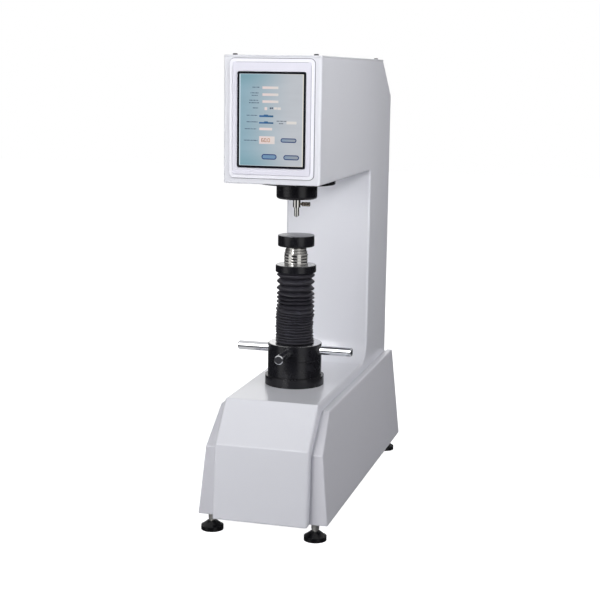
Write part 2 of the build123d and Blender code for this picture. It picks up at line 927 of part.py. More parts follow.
with BuildPart() as upper_race:
    turned(
        (
            (race_inner_radius, upper_race_z),
            (race_outer_radius, upper_race_z),
            (race_outer_radius, hub_pocket_z),
            (race_inner_radius, hub_pocket_z),
        )
    )
save(upper_race, "upper_race")

bar_angles = [index * 360 / bar_count for index in range(bar_count)]
with BuildPart() as capstan_hub:
    turned(
        (
            (race_outer_radius, hub_bottom_z),
            (housing_radius, hub_bottom_z),
            (housing_radius, hub_top_z),
            (nut_radius, hub_top_z),
            (nut_radius, hub_pocket_z),
            (race_outer_radius, hub_pocket_z),
        )
    )
    rim_edges = capstan_hub.edges().filter_by(GeomType.CIRCLE).group_by(Axis.Z)[-1].sort_by(SortBy.LENGTH)
    fillet(rim_edges[-1], hub_edge_radius)
    for angle in bar_angles:
        outward = (cos(radians(angle)), sin(radians(angle)), 0)
        stud_start = (bar_stud_start * outward[0], axis_y + bar_stud_start * outward[1], bar_z)
        seat_start = (bar_seat_radius * outward[0], axis_y + bar_seat_radius * outward[1], bar_z)
        rod(stud_start, outward, bar_stud_radius, housing_radius - bar_stud_start, mode=Mode.SUBTRACT)
        rod(seat_start, outward, bar_radius, housing_radius - bar_seat_radius, mode=Mode.SUBTRACT)
save(capstan_hub, "capstan_hub")

with BuildPart() as screw_nut:
    turned(
        (
            (screw_radius + running_clearance, nut_bottom_z),
            (nut_neck_radius, nut_bottom_z),
            (nut_neck_radius, hub_pocket_z),
            (nut_radius, hub_pocket_z),
            (nut_radius, hub_top_z - hub_edge_radius),
            (screw_radius + running_clearance, hub_top_z - hub_edge_radius),
        )
    )
save(screw_nut, "screw_nut")

with BuildPart() as capstan_bars:
    for angle in bar_angles:
        outward = (cos(radians(angle)), sin(radians(angle)), 0)
        stud_start = (bar_stud_start * outward[0], axis_y + bar_stud_start * outward[1], bar_z)
        seat_start = (bar_seat_radius * outward[0], axis_y + bar_seat_radius * outward[1], bar_z)
        rod(stud_start, outward, bar_stud_radius, bar_seat_radius - bar_stud_start)
        rod(seat_start, outward, bar_radius, bar_reach - bar_seat_radius)
    bar_ends = capstan_bars.edges().filter_by(GeomType.CIRCLE).filter_by(
        lambda edge: (edge.arc_center - Vector(0, axis_y, bar_z)).length > bar_reach - bar_radius
    )
    chamfer(bar_ends, bar_end_chamfer)
save(capstan_bars, "capstan_bars")


# ==== elevating screw, bellows and anvil ==============================================================
with BuildPart() as elevating_screw:
    turned(
        (
            (0, screw_bottom_z),
            (screw_radius, screw_bottom_z),
            (screw_radius, screw_cone_z),
            (screw_top_radius, anvil_bottom_z),
            (spigot_radius + running_clearance, anvil_bottom_z),
            (spigot_radius + running_clearance, anvil_bottom_z - spigot_length - seam_gap),
            (0, anvil_bottom_z - spigot_length - seam_gap),
        )
    )
    block(
        (-key_half - key_clearance, key_half + key_clearance),
        (axis_y + screw_radius - screw_keyway_depth, axis_y + 2 * screw_radius),
        (screw_bottom_z, screw_keyway_top_z),
        mode=Mode.SUBTRACT,
    )
save(elevating_screw, "elevating_screw")

with BuildPart() as bellows_top_ring:
    turned(
        (
            (screw_radius, bellows_top_z),
            (top_ring_radius, bellows_top_z),
            (top_ring_radius, bellows_top_z + top_ring_thickness),
            (screw_radius, bellows_top_z + top_ring_thickness),
        )
    )
    ring_top = bellows_top_ring.edges().filter_by(GeomType.CIRCLE).group_by(Axis.Z)[-1]
    chamfer(ring_top.sort_by(SortBy.LENGTH)[-1], cover_edge_radius)
save(bellows_top_ring, "bellows_top_ring")

open_length = bellows_open_folds * bellows_open_pitch
half_open_length = bellows_half_folds * bellows_half_pitch
closed_pitch = (bellows_top_z - hub_top_z - open_length - half_open_length) / bellows_closed_folds
fold_zones = (
    (bellows_closed_folds, closed_pitch, bellows_closed_root_radius),
    (bellows_half_folds, bellows_half_pitch, bellows_root_radius),
    (bellows_open_folds, bellows_open_pitch, bellows_root_radius),
)
bellows_profile = [(bellows_bore_radius, hub_top_z), (bellows_closed_root_radius, hub_top_z)]
fold_z = hub_top_z
for folds, fold_pitch, root_radius in fold_zones:
    for fold in range(folds):
        bellows_profile.append((bellows_outer_radius, fold_z + fold_pitch / 2))
        fold_z += fold_pitch
        bellows_profile.append((root_radius, fold_z))
bellows_profile.append((bellows_bore_radius, bellows_top_z))
with BuildPart() as bellows:
    turned(bellows_profile)
save(bellows, "bellows")

with BuildPart() as anvil:
    turned(
        (
            (0, anvil_bottom_z - spigot_length),
            (spigot_radius, anvil_bottom_z - spigot_length),
            (spigot_radius, anvil_bottom_z),
            (anvil_radius, anvil_bottom_z),
            (anvil_radius, anvil_top_z),
            (0, anvil_top_z),
        )
    )
    chamfer(anvil.faces().sort_by(Axis.Z)[-1].edges(), anvil_chamfer)
save(anvil, "anvil")


# ==== load train: fulcrum, lever, hanger, weights and cam =============================================
cheek_outer_x = cheek_gap_x + cheek_thickness
cheek_rear_y = fulcrum_y + cheek_depth / 2
cheek_front_y = fulcrum_y - cheek_depth / 2
with BuildPart() as fulcrum_bracket:
    block(
        (-cheek_outer_x, cheek_outer_x),
        (cheek_front_y, axis_y - bush_radius),
        (head_floor_z, head_floor_z + bracket_base),
    )
    for side in (-1, 1):
        block(
            (side * cheek_gap_x, side * cheek_outer_x),
            (cheek_front_y, cheek_rear_y),
            (head_floor_z + bracket_base, cheek_top_z),
        )
    rod(
        (-cheek_outer_x, fulcrum_y, fulcrum_z),
        (1, 0, 0),
        axle_radius,
        2 * cheek_outer_x,
        mode=Mode.SUBTRACT,
    )
save(fulcrum_bracket, "fulcrum_bracket")

with BuildPart() as fulcrum_axle:
    rod((-cheek_outer_x, fulcrum_y, fulcrum_z), (1, 0, 0), axle_radius, 2 * cheek_outer_x)
save(fulcrum_axle, "fulcrum_axle")

lever_top_z = lever_bottom_z + lever_height
hanger_eye_z = lever_bottom_z + lever_tail_height / 2
with BuildPart() as main_lever:
    side_slab(
        (
            (lever_nose_y, lever_bottom_z),
            (hanger_y + yoke_half_depth, lever_bottom_z),
            (hanger_y + yoke_half_depth, lever_bottom_z + lever_tail_height),
            (cam_y, lever_bottom_z + lever_tail_height),
            (axis_y, lever_top_z),
            (lever_nose_y, lever_top_z),
        ),
        lever_half_width,
    )
    rod(
        (-lever_hub_half_width, fulcrum_y, fulcrum_z),
        (1, 0, 0),
        2 * axle_radius,
        2 * lever_hub_half_width,
    )
    rod(
        (-lever_hub_half_width, fulcrum_y, fulcrum_z),
        (1, 0, 0),
        axle_radius + running_clearance,
        2 * lever_hub_half_width,
        mode=Mode.SUBTRACT,
    )
    rod(
        (-lever_half_width, hanger_y, hanger_eye_z),
        (1, 0, 0),
        hanger_pin_radius,
        2 * lever_half_width,
        mode=Mode.SUBTRACT,
    )
    block(
        (-lever_half_width, lever_half_width),
        (axis_y - pad_half_width, axis_y + pad_half_width),
        (lever_bottom_z - pad_depth, lever_bottom_z),
    )
save(main_lever, "main_lever")

yoke_inner_x = lever_half_width + yoke_gap
yoke_outer_x = yoke_inner_x + yoke_plate
with BuildPart() as hanger_pin:
    rod((-yoke_outer_x, hanger_y, hanger_eye_z), (1, 0, 0), hanger_pin_radius, 2 * yoke_outer_x)
save(hanger_pin, "hanger_pin")

yoke_top_z = hanger_eye_z + 2 * hanger_pin_radius
with BuildPart() as weight_hanger:
    for side in (-1, 1):
        block(
            (side * yoke_inner_x, side * yoke_outer_x),
            (hanger_y - yoke_half_depth, hanger_y + yoke_half_depth),
            (yoke_bottom_z, yoke_top_z),
        )
    block(
        (-yoke_outer_x, yoke_outer_x),
        (hanger_y - yoke_half_depth, hanger_y + yoke_half_depth),
        (yoke_bottom_z - yoke_bridge, yoke_bottom_z),
    )
    rod(
        (-yoke_outer_x, hanger_y, hanger_eye_z),
        (1, 0, 0),
        hanger_pin_radius + hanger_pin_clearance,
        2 * yoke_outer_x,
        mode=Mode.SUBTRACT,
    )
    rod(
        (0, hanger_y, hanger_bottom_z),
        (0, 0, 1),
        hanger_rod_radius,
        yoke_bottom_z - yoke_bridge - hanger_bottom_z,
    )
    rod((0, hanger_y, hanger_bottom_z), (0, 0, 1), hanger_plate_radius, hanger_plate_thickness)
save(weight_hanger, "weight_hanger")

with BuildPart() as load_weights:
    for index in range(weight_count):
        weight_z = hanger_bottom_z + hanger_plate_thickness + index * (weight_thickness + weight_gap)
        rod((0, hanger_y, weight_z), (0, 0, 1), weight_radius, weight_thickness)
        rod(
            (0, hanger_y, weight_z),
            (0, 0, 1),
            hanger_rod_radius + weight_bore_clearance,
            weight_thickness,
            mode=Mode.SUBTRACT,
        )
save(load_weights, "load_weights")

# The cam falls evenly as it turns, so the lever follows it at one ratio.
cam_turn = radians(cam_turn_deg)
cam_fall = cam_drop / cam_turn
spiral = []
for index in range(cam_points + 1):
    turn = -0.5 * cam_turn + index * 2.0 * cam_turn / cam_points
    radius = cam_top_radius - cam_fall * max(turn, 0) - cam_gap * min(turn, 0)
    radius = min(radius, cam_top_radius)
    spiral.append((cam_y + radius * sin(turn), cam_axis_z + radius * cos(turn)))
with BuildPart() as load_cam:
    with BuildSketch(Plane.YZ) as cam_outline:
        with BuildLine():
            edge_curve = Spline(*spiral)
            Polyline(edge_curve @ 1, (cam_y, cam_axis_z - 2 * cam_shaft_radius), edge_curve @ 0)
        make_face()
    extrude(amount=cam_half_width, both=True)
    rod((-cam_half_width, cam_y, cam_axis_z), (1, 0, 0), 2 * cam_shaft_radius, 2 * cam_half_width)
    rod(
        (-cam_half_width, cam_y, cam_axis_z),
        (1, 0, 0),
        cam_shaft_radius,
        2 * cam_half_width,
        mode=Mode.SUBTRACT,
    )
save(load_cam, "load_cam")

with BuildPart() as cam_shaft:
    rod(
        (gearbox_start_x - cam_half_width, cam_y, cam_axis_z),
        (1, 0, 0),
        cam_shaft_radius,
        cam_shaft_end_x + cam_half_width - gearbox_start_x,
    )
save(cam_shaft, "cam_shaft")

with BuildPart() as load_motor:
    block(
        (gearbox_end_x, gearbox_start_x),
        (cam_y - gearbox_size / 2, cam_y + gearbox_size / 2),
        (cam_axis_z - gearbox_size / 2, cam_axis_z + gearbox_size / 2),
    )
    chamfer(load_motor.edges().filter_by(Axis.X), 2 * cover_edge_radius)
    rod((motor_end_x, cam_y, cam_axis_z), (1, 0, 0), motor_radius, gearbox_end_x - motor_end_x)
    rod(
        (gearbox_start_x - cam_half_width, cam_y, cam_axis_z),
        (1, 0, 0),
        cam_shaft_radius + running_clearance,
        cam_half_width,
        mode=Mode.SUBTRACT,
    )
save(load_motor, "load_motor")

motor_bracket_z = cam_axis_z - gearbox_size / 2
with BuildPart() as motor_bracket:
    block(
        (-cavity_half, gearbox_start_x),
        (column_front_y + casting_wall, cam_y + gearbox_size / 2),
        (motor_bracket_z - motor_plate, motor_bracket_z),
    )
    block(
        (-cavity_half, -cavity_half + motor_plate),
        (column_front_y + casting_wall, cam_y + gearbox_size / 2),
        (motor_bracket_z, cam_axis_z + gearbox_size / 2),
    )
save(motor_bracket, "motor_bracket")


# ==== electrics ========================================================================================
with BuildPart() as mains_inlet:
    block(
        (inlet_x - inlet_flange_width / 2, inlet_x + inlet_flange_width / 2),
        (column_rear_y, column_rear_y + inlet_flange),
        (inlet_z - inlet_flange_height / 2, inlet_z + inlet_flange_height / 2),
    )
    fillet(mains_inlet.edges().filter_by(Axis.Y), bezel_corner / 2)
    block(
        (inlet_x - inlet_body_width / 2, inlet_x + inlet_body_width / 2),
        (column_rear_y - inlet_body_depth, column_rear_y),
        (inlet_z - inlet_body_height / 2, inlet_z + inlet_body_height / 2),
    )
    block(
        (inlet_x - inlet_socket_width / 2, inlet_x + inlet_socket_width / 2),
        (column_rear_y - inlet_socket_depth, column_rear_y + inlet_flange),
        (inlet_socket_z - inlet_socket_height / 2, inlet_socket_z + inlet_socket_height / 2),
        mode=Mode.SUBTRACT,
    )
    for column, row in ((-1, -1), (1, -1), (0, 0)):
        pin_x = inlet_x + column * pin_spacing
        pin_z = inlet_socket_z + row * pin_height
        block(
            (pin_x - pin_width / 2, pin_x + pin_width / 2),
            (column_rear_y - inlet_socket_depth, column_rear_y - inlet_socket_depth + pin_length),
            (pin_z - pin_height / 2, pin_z + pin_height / 2),
        )
    rocker_well_half = rocker_height / 2 + 2 * rocker_clearance
    block(
        (inlet_x - rocker_width / 2 - rocker_clearance, inlet_x + rocker_width / 2 + rocker_clearance),
        (column_rear_y - rocker_radius - inlet_flange, column_rear_y + inlet_flange),
        (rocker_z - rocker_well_half, rocker_z + rocker_well_half),
        mode=Mode.SUBTRACT,
    )
    rocker_pivot_y = column_rear_y - inlet_flange
    rocker_pivot_half = rocker_width / 2 + rocker_clearance + rocker_pivot_length
    with Locations((inlet_x, rocker_pivot_y, rocker_z)):
        Cylinder(
            rocker_pivot_radius + rocker_pivot_clearance,
            2 * rocker_pivot_half + 2 * rocker_pivot_clearance,
            rotation=(0, 90, 0),
            mode=Mode.SUBTRACT,
        )
save(mains_inlet, "mains_inlet")

with BuildPart() as power_switch:
    with BuildSketch(Plane.YZ.offset(inlet_x - rocker_width / 2)) as rocker_section:
        with BuildLine():
            Polyline(
                (rocker_pivot_y - rocker_hub, rocker_z - rocker_hub),
                (rocker_pivot_y - rocker_hub, rocker_z + rocker_hub),
                (column_rear_y + inlet_flange, rocker_z + rocker_height / 2 - rocker_clearance),
                (column_rear_y + rocker_rise, rocker_z),
                (column_rear_y + inlet_flange + rocker_rise, rocker_z - rocker_height / 2 + rocker_rise),
                close=True,
            )
        make_face()
    extrude(amount=rocker_width)
    with Locations((inlet_x, rocker_pivot_y, rocker_z)):
        Cylinder(rocker_pivot_radius, 2 * rocker_pivot_half, rotation=(0, 90, 0))
save(power_switch, "power_switch")

with BuildPart() as power_supply:
    block(
        (-supply_width / 2, supply_width / 2),
        (supply_front_y, supply_front_y + supply_length),
        (plate_top_z, plate_top_z + supply_height),
    )
    chamfer(power_supply.edges().filter_by(Axis.Z), 2 * cover_edge_radius)
save(power_supply, "power_supply")

board_z = plate_top_z + board_standoff
with BuildPart() as control_board:
    block(
        (-board_width / 2, board_width / 2),
        (board_front_y, board_front_y + board_length),
        (board_z, board_z + board_thickness),
    )
    with Locations((0, board_front_y + board_length / 2, plate_top_z)):
        with GridLocations(board_width - 4 * standoff_radius, board_length - 4 * standoff_radius, 2, 2):
            Cylinder(standoff_radius, board_standoff, align=(Align.CENTER, Align.CENTER, Align.MIN))
save(control_board, "control_board")


# ==== levelling feet ===================================================================================
foot_names = ("front_left", "front_right", "rear_left", "rear_right")
for name, (x, y) in zip(foot_names, foot_places):
    foot_plane = Plane(origin=(x, y, 0), x_dir=(1, 0, 0), z_dir=(0, -1, 0))
    foot_line = Axis((x, y, 0), (0, 0, 1))
    with BuildPart() as foot_pad:
        turned(
            (
                (0, 0),
                (pad_radius, 0),
                (pad_radius, pad_rim),
                (pad_shoulder_radius, pad_rim),
                (pad_neck_radius, pad_top_z),
                (stud_radius, pad_top_z),
                (stud_radius, stud_bottom_z),
                (0, stud_bottom_z),
            ),
            plane=foot_plane,
            line=foot_line,
        )
    save(foot_pad, f"foot_pad_{name}")
    with BuildPart() as foot_stud:
        rod((x, y, stud_bottom_z), (0, 0, 1), stud_radius, stud_top_z - stud_bottom_z)
    save(foot_stud, f"foot_stud_{name}")

with BuildPart() as foot_lock_nuts:
    with BuildSketch(Plane.XY.offset(frame_bottom_z - lock_nut_height)):
        with Locations(*foot_places):
            RegularPolygon(lock_nut_flats / 2, 6, major_radius=False)
            Circle(stud_radius + stud_clearance, mode=Mode.SUBTRACT)
    extrude(amount=lock_nut_height)
save(foot_lock_nuts, "foot_lock_nuts")
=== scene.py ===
import math
import bpy
import bmesh
from mathutils import Matrix, Vector


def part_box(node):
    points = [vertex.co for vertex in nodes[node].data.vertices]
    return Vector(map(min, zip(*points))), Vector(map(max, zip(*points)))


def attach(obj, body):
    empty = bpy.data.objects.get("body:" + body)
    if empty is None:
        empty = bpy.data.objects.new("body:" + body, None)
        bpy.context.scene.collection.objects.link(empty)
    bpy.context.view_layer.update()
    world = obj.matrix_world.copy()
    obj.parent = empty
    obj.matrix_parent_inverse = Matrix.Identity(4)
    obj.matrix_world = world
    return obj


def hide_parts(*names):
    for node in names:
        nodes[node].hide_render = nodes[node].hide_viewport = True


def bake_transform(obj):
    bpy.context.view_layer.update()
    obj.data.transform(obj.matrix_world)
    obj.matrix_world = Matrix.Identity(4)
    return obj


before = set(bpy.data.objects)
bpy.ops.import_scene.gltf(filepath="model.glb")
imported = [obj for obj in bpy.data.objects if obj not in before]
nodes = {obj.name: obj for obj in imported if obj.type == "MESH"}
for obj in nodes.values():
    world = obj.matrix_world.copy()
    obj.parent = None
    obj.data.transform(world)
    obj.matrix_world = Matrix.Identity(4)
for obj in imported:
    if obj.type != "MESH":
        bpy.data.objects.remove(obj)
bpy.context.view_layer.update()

mm = 0.001
looks = {}  # every material, by name
print("frame loaded:", len(nodes), "nodes")


def fromScreen(red, green, blue):
    def linear(value):
        share = value / 255
        return share / 12.92 if share <= 0.04045 else ((share + 0.055) / 1.055) ** 2.4
    return (linear(red), linear(green), linear(blue), 1.0)


def inMetres(rows):
    return [tuple(value * mm for value in row) for row in rows]


def meshObject(name, mesh):
    piece = bpy.data.objects.new(name, mesh)
    bpy.context.scene.collection.objects.link(piece)
    return piece


def objectFrom(bm, name):
    bmesh.ops.recalc_face_normals(bm, faces=bm.faces)
    mesh = bpy.data.meshes.new(name)
    bm.to_mesh(mesh)
    bm.free()
    return meshObject(name, mesh)


def stitch(bm, first, second):
    # faces between two closed loops of as many points, or a loop and a single point
    count = max(len(first), len(second))
    for index in range(count):
        after = (index + 1) % count
        if len(first) == 1:
            bm.faces.new((first[0], second[after], second[index]))
        elif len(second) == 1:
            bm.faces.new((first[index], first[after], second[0]))
        else:
            bm.faces.new((first[index], first[after], second[after], second[index]))


def smoothShade(piece, degrees):
    mesh = piece.data
    mesh.polygons.foreach_set("use_smooth", [True] * len(mesh.polygons))
    mesh.set_sharp_from_angle(angle=math.radians(degrees))


def finishPiece(piece, body, look, replaced=()):
    piece.data.materials.clear()
    piece.data.materials.append(looks[look])
    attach(piece, body)
    if replaced:
        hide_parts(*replaced)


def roundedProfile(points, steps=5):
    plain = []
    for index, (radius, height, corner) in enumerate(points):
        here = Vector((radius, height))
        if corner <= 0 or index in (0, len(points) - 1):
            plain.append(here)
            continue
        before = (Vector(points[index - 1][:2]) - here).normalized()
        after = (Vector(points[index + 1][:2]) - here).normalized()
        reach = corner / math.tan(before.angle(after) / 2)
        start, end = here + before * reach, here + after * reach
        for step in range(steps + 1):
            share = step / steps
            plain.append(start * (1 - share) ** 2 + here * 2 * share * (1 - share) + end * share ** 2)
    return [point * mm for point in plain]


def latheObject(name, points, centre, direction, segments, sharp, wobble=None):
    # a profile that starts and ends on the axis, turned about it
    turn = Vector((0, 0, 1)).rotation_difference(Vector(direction)).to_matrix()
    bm = bmesh.new()
    rings = []
    for radius, height in points:
        ring = []
        for index in range(segments if radius > 1e-7 else 1):
            angle = 2 * math.pi * index / segments
            away = radius + (wobble(angle, height) if wobble and radius > 1e-7 else 0)
            local = Vector((away * math.cos(angle), away * math.sin(angle), height))
            ring.append(bm.verts.new(Vector(centre) + turn @ local))
        rings.append(ring)
    for lower, upper in zip(rings, rings[1:]):
        stitch(bm, lower, upper)
    piece = objectFrom(bm, name)
    smoothShade(piece, sharp)
    return piece


def roundedLoop(centreX, centreZ, width, height, corner, steps=6):
    corner = max(min(corner, width / 2, height / 2), 1e-6)
    loop = []
    for cornerX, cornerZ, begin in ((1, 1, 0), (-1, 1, 90), (-1, -1, 180), (1, -1, 270)):
        for step in range(steps + 1):
            angle = math.radians(begin + 90 * step / steps)
            loop.append((centreX + cornerX * (width / 2 - corner) + corner * math.cos(angle),
                         centreZ + cornerZ * (height / 2 - corner) + corner * math.sin(angle)))
    return loop


def platesObject(name, shapes, frontY, depth, bevel=0.0):
    # flat rounded plates, each (x, z, width, height, corner)
    bm = bmesh.new()
    levels = [(0, frontY + math.copysign(bevel, depth)), (0, frontY + depth)]
    if bevel:
        levels.insert(0, (bevel, frontY))
    for centreX, centreZ, width, height, corner in shapes:
        rings = []
        for shrink, y in levels:
            loop = roundedLoop(centreX, centreZ, width - 2 * shrink, height - 2 * shrink, corner)
            rings.append([bm.verts.new((x, y, z)) for x, z in loop])
        bm.faces.new(rings[0])
        bm.faces.new(rings[-1][::-1])
        for front, back in zip(rings, rings[1:]):
            stitch(bm, front, back)
    return objectFrom(bm, name)


def borderObject(name, shapes, frontY, depth):
    # flat rounded frames, each ((x, z, width, height, corner), side, cap)
    bm = bmesh.new()
    for (centreX, centreZ, width, height, corner), side, cap in shapes:
        outer = roundedLoop(centreX, centreZ, width, height, corner)
        inner = roundedLoop(centreX, centreZ, width - 2 * side, height - 2 * cap, max(corner - side, 0))
        rings = [[bm.verts.new((x, y, z)) for x, z in loop]
                 for loop, y in ((outer, frontY), (inner, frontY), (inner, frontY + depth), (outer, frontY + depth))]
        for first, second in zip(rings, rings[1:] + rings[:1]):
            stitch(bm, first, second)
    return objectFrom(bm, name)


def setInputs(node, values):
    # a value that is a node or a socket is linked, any other is set
    for key, value in values.items():
        if isinstance(value, bpy.types.Node):
            value = value.outputs[0]
        if isinstance(value, bpy.types.NodeSocket):
            node.id_data.links.new(value, node.inputs[key])
        else:
            node.inputs[key].default_value = value


def addNode(tree, kind, values=None, **settings):
    node = tree.nodes.new(kind)
    node.location = (200 * (len(tree.nodes) % 8), -250 * (len(tree.nodes) // 8))
    for key, value in settings.items():
        setattr(node, key, value)
    setInputs(node, values or {})
    return node


def calc(tree, operation, *values):
    return addNode(tree, "ShaderNodeMath", dict(enumerate(values)), operation=operation)


def vectorCalc(tree, operation, *values):
    return addNode(tree, "ShaderNodeVectorMath", dict(enumerate(values)), operation=operation)


def mapRange(tree, value, begin, full, most=1.0, **settings):
    return addNode(tree, "ShaderNodeMapRange", {
        "Value": value, "From Min": begin, "From Max": full, "To Max": most}, **settings).outputs["Result"]


def mixColours(tree, share, first, second):
    return addNode(tree, "ShaderNodeMix", {"Factor": share, 6: first, 7: second}, data_type="RGBA").outputs[2]


def newGroup(name, inputs, outputs, kind="ShaderNodeTree"):
    # an input is a default value, or the kind of a socket that has none
    tree = bpy.data.node_groups.new(name, kind)
    for label, value in inputs.items():
        if isinstance(value, str):
            tree.interface.new_socket(label, in_out="INPUT", socket_type="NodeSocket" + value)
            continue
        if isinstance(value, tuple):
            socketKind = "Color" if len(value) == 4 else "Vector"
        else:
            socketKind = "Int" if isinstance(value, int) else "Float"
        socket = tree.interface.new_socket(label, in_out="INPUT", socket_type="NodeSocket" + socketKind)
        socket.default_value = value
    for label, socketKind in outputs.items():
        tree.interface.new_socket(label, in_out="OUTPUT", socket_type="NodeSocket" + socketKind)
    return tree, tree.nodes.new("NodeGroupInput").outputs


def closeGroup(tree, **results):
    addNode(tree, "NodeGroupOutput", results)
    return tree


surface = {"Colour": "Color", "Roughness": "Float", "Height": "Float"}


def paintGroup():
    tree, given = newGroup("sprayedPaint", {
        "Colour": (0.8, 0.8, 0.8, 1), "Drift": 0.03, "Peel Scale": 900.0, "Roughness": 0.35}, surface)
    place = addNode(tree, "ShaderNodeTexCoord").outputs["Object"]
    slow = addNode(tree, "ShaderNodeTexNoise", {"Scale": 6.0, "Detail": 3.0, "Vector": place})
    peel = addNode(tree, "ShaderNodeTexNoise", {
        "Detail": 2.0, "Roughness": 0.45, "Vector": place, "Scale": given["Peel Scale"]})
    drift = calc(tree, "MULTIPLY", calc(tree, "SUBTRACT", slow.outputs["Fac"], 0.5), given["Drift"])
    tinted = vectorCalc(tree, "SCALE", given["Colour"])
    setInputs(tinted, {"Scale": calc(tree, "ADD", drift, 1.0)})
    rough = calc(tree, "MULTIPLY_ADD", given["Roughness"], 0.9, 0.05)
    return closeGroup(tree, Colour=tinted, Roughness=calc(tree, "ADD", rough, drift), Height=peel.outputs["Fac"])


def turnedGroup():
    tree, given = newGroup("turnedMetal", {
        "Colour": (0.6, 0.6, 0.6, 1), "Centre": (0.0, 0.0, 0.0), "Ring Scale": 900.0, "Contrast": 0.15,
        "Roughness": 0.3}, surface)
    place = addNode(tree, "ShaderNodeTexCoord").outputs["Object"]
    parts = addNode(tree, "ShaderNodeSeparateXYZ", {0: vectorCalc(tree, "SUBTRACT", place, given["Centre"])}).outputs
    away = vectorCalc(tree, "LENGTH", addNode(tree, "ShaderNodeCombineXYZ", {"X": parts["X"], "Y": parts["Y"]}))
    line = addNode(tree, "ShaderNodeCombineXYZ", {"X": away.outputs["Value"], "Y": parts["Z"]})
    rings = addNode(tree, "ShaderNodeTexNoise", {
        "Detail": 4.0, "Roughness": 0.6, "Vector": line, "Scale": given["Ring Scale"]})
    change = calc(tree, "MULTIPLY", calc(tree, "SUBTRACT", rings.outputs["Fac"], 0.5), given["Contrast"])
    tinted = vectorCalc(tree, "SCALE", given["Colour"])
    setInputs(tinted, {"Scale": calc(tree, "ADD", change, 1.0)})
    return closeGroup(tree, Colour=tinted, Roughness=calc(tree, "ADD", given["Roughness"], change),
                      Height=rings.outputs["Fac"])


def wearGroup():
    tree, given = newGroup("handlingMarks", {
        "Colour": (0.03, 0.03, 0.03, 1), "Mark Colour": (0.2, 0.2, 0.2, 1), "Amount": 0.15, "Scale": 60.0,
        "Roughness": 0.4}, surface)
    place = addNode(tree, "ShaderNodeTexCoord").outputs["Object"]
    patch = addNode(tree, "ShaderNodeTexNoise", {
        "Detail": 6.0, "Roughness": 0.65, "Vector": place, "Scale": given["Scale"]})
    grain = addNode(tree, "ShaderNodeTexNoise", {"Scale": 1400.0, "Detail": 2.0, "Vector": place})
    share = calc(tree, "MULTIPLY", mapRange(tree, patch.outputs["Fac"], 0.55, 0.78), given["Amount"])
    return closeGroup(tree, Colour=mixColours(tree, share, given["Colour"], given["Mark Colour"]),
                      Roughness=calc(tree, "ADD", given["Roughness"], share), Height=grain.outputs["Fac"])


def litGroup():
    # what a lit display shows: a drift from left to right and from foot to top, with faint streaks
    tree, given = newGroup("litImage", {
        "Left Colour": (0.2, 0.3, 0.4, 1), "Right Colour": (0.5, 0.5, 0.5, 1), "Band Colour": (0.2, 0.3, 0.4, 1),
        "Left Edge": -0.05, "Right Edge": 0.05, "Foot": 0.61, "Top": 0.76, "Streaks": 0.06}, {"Colour": "Color"})
    place = addNode(tree, "ShaderNodeTexCoord").outputs["Object"]
    parts = addNode(tree, "ShaderNodeSeparateXYZ", {0: place}).outputs
    across = mapRange(tree, parts["X"], given["Left Edge"], given["Right Edge"], interpolation_type="SMOOTHSTEP")
    upward = mapRange(tree, parts["Z"], given["Foot"], given["Top"])
    band = mapRange(tree, calc(tree, "ABSOLUTE", calc(tree, "SUBTRACT", upward, 0.5)), 0.32, 0.5)
    share = calc(tree, "MULTIPLY", band, calc(tree, "SUBTRACT", 1.0, across))
    drift = mixColours(tree, across, given["Left Colour"], given["Right Colour"])
    stretch = addNode(tree, "ShaderNodeMapping", {
        "Vector": place, "Scale": (14.0, 1.0, 90.0), "Rotation": (0, math.radians(12), 0)})
    streak = addNode(tree, "ShaderNodeTexNoise", {"Scale": 1.0, "Detail": 2.0, "Vector": stretch})
    change = calc(tree, "MULTIPLY", calc(tree, "SUBTRACT", streak.outputs["Fac"], 0.5), given["Streaks"])
    tinted = vectorCalc(tree, "SCALE", mixColours(tree, share, drift, given["Band Colour"]))
    setInputs(tinted, {"Scale": calc(tree, "ADD", change, 1.0)})
    return closeGroup(tree, Colour=tinted)


def plainMaterial(name):
    material = bpy.data.materials.new(name)
    material.use_nodes = True
    looks[name] = material
    return material.node_tree, material.node_tree.nodes["Principled BSDF"]


def newMaterial(name, group, values, bump=0.0, soften=0.0, inputs=None):
    # bump and soften in millimetres
    tree, principled = plainMaterial(name)
    effect = addNode(tree, "ShaderNodeGroup", values, node_tree=group)
    setInputs(principled, {"Base Color": effect.outputs["Colour"], "Roughness": effect.outputs["Roughness"],
                           **(inputs or {})})
    normal = None
    if soften:
        normal = addNode(tree, "ShaderNodeBevel", {"Radius": soften * mm}, samples=4)
        setInputs(principled, {"Coat Normal": normal})
    if bump:
        relief = {"Strength": 1.0, "Distance": bump * mm, "Height": effect.outputs["Height"]}
        normal = addNode(tree, "ShaderNodeBump", {**relief, "Normal": normal} if normal else relief)
    if normal:
        setInputs(principled, {"Normal": normal})


def litMaterial(name, left, right, band, streaks, edges):
    tree, principled = plainMaterial(name)
    glassLow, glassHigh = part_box("display_glass")
    effect = addNode(tree, "ShaderNodeGroup", {
        "Left Colour": fromScreen(*left), "Right Colour": fromScreen(*right), "Band Colour": fromScreen(*band),
        "Left Edge": edges[0], "Right Edge": edges[1], "Foot": glassLow[2], "Top": glassHigh[2],
        "Streaks": streaks}, node_tree=litImage)
    setInputs(principled, {
        "Base Color": (0.006, 0.007, 0.008, 1), "Roughness": 0.16, "Specular IOR Level": 0.25,
        "Emission Strength": 1.0, "Emission Color": effect.outputs["Colour"]})


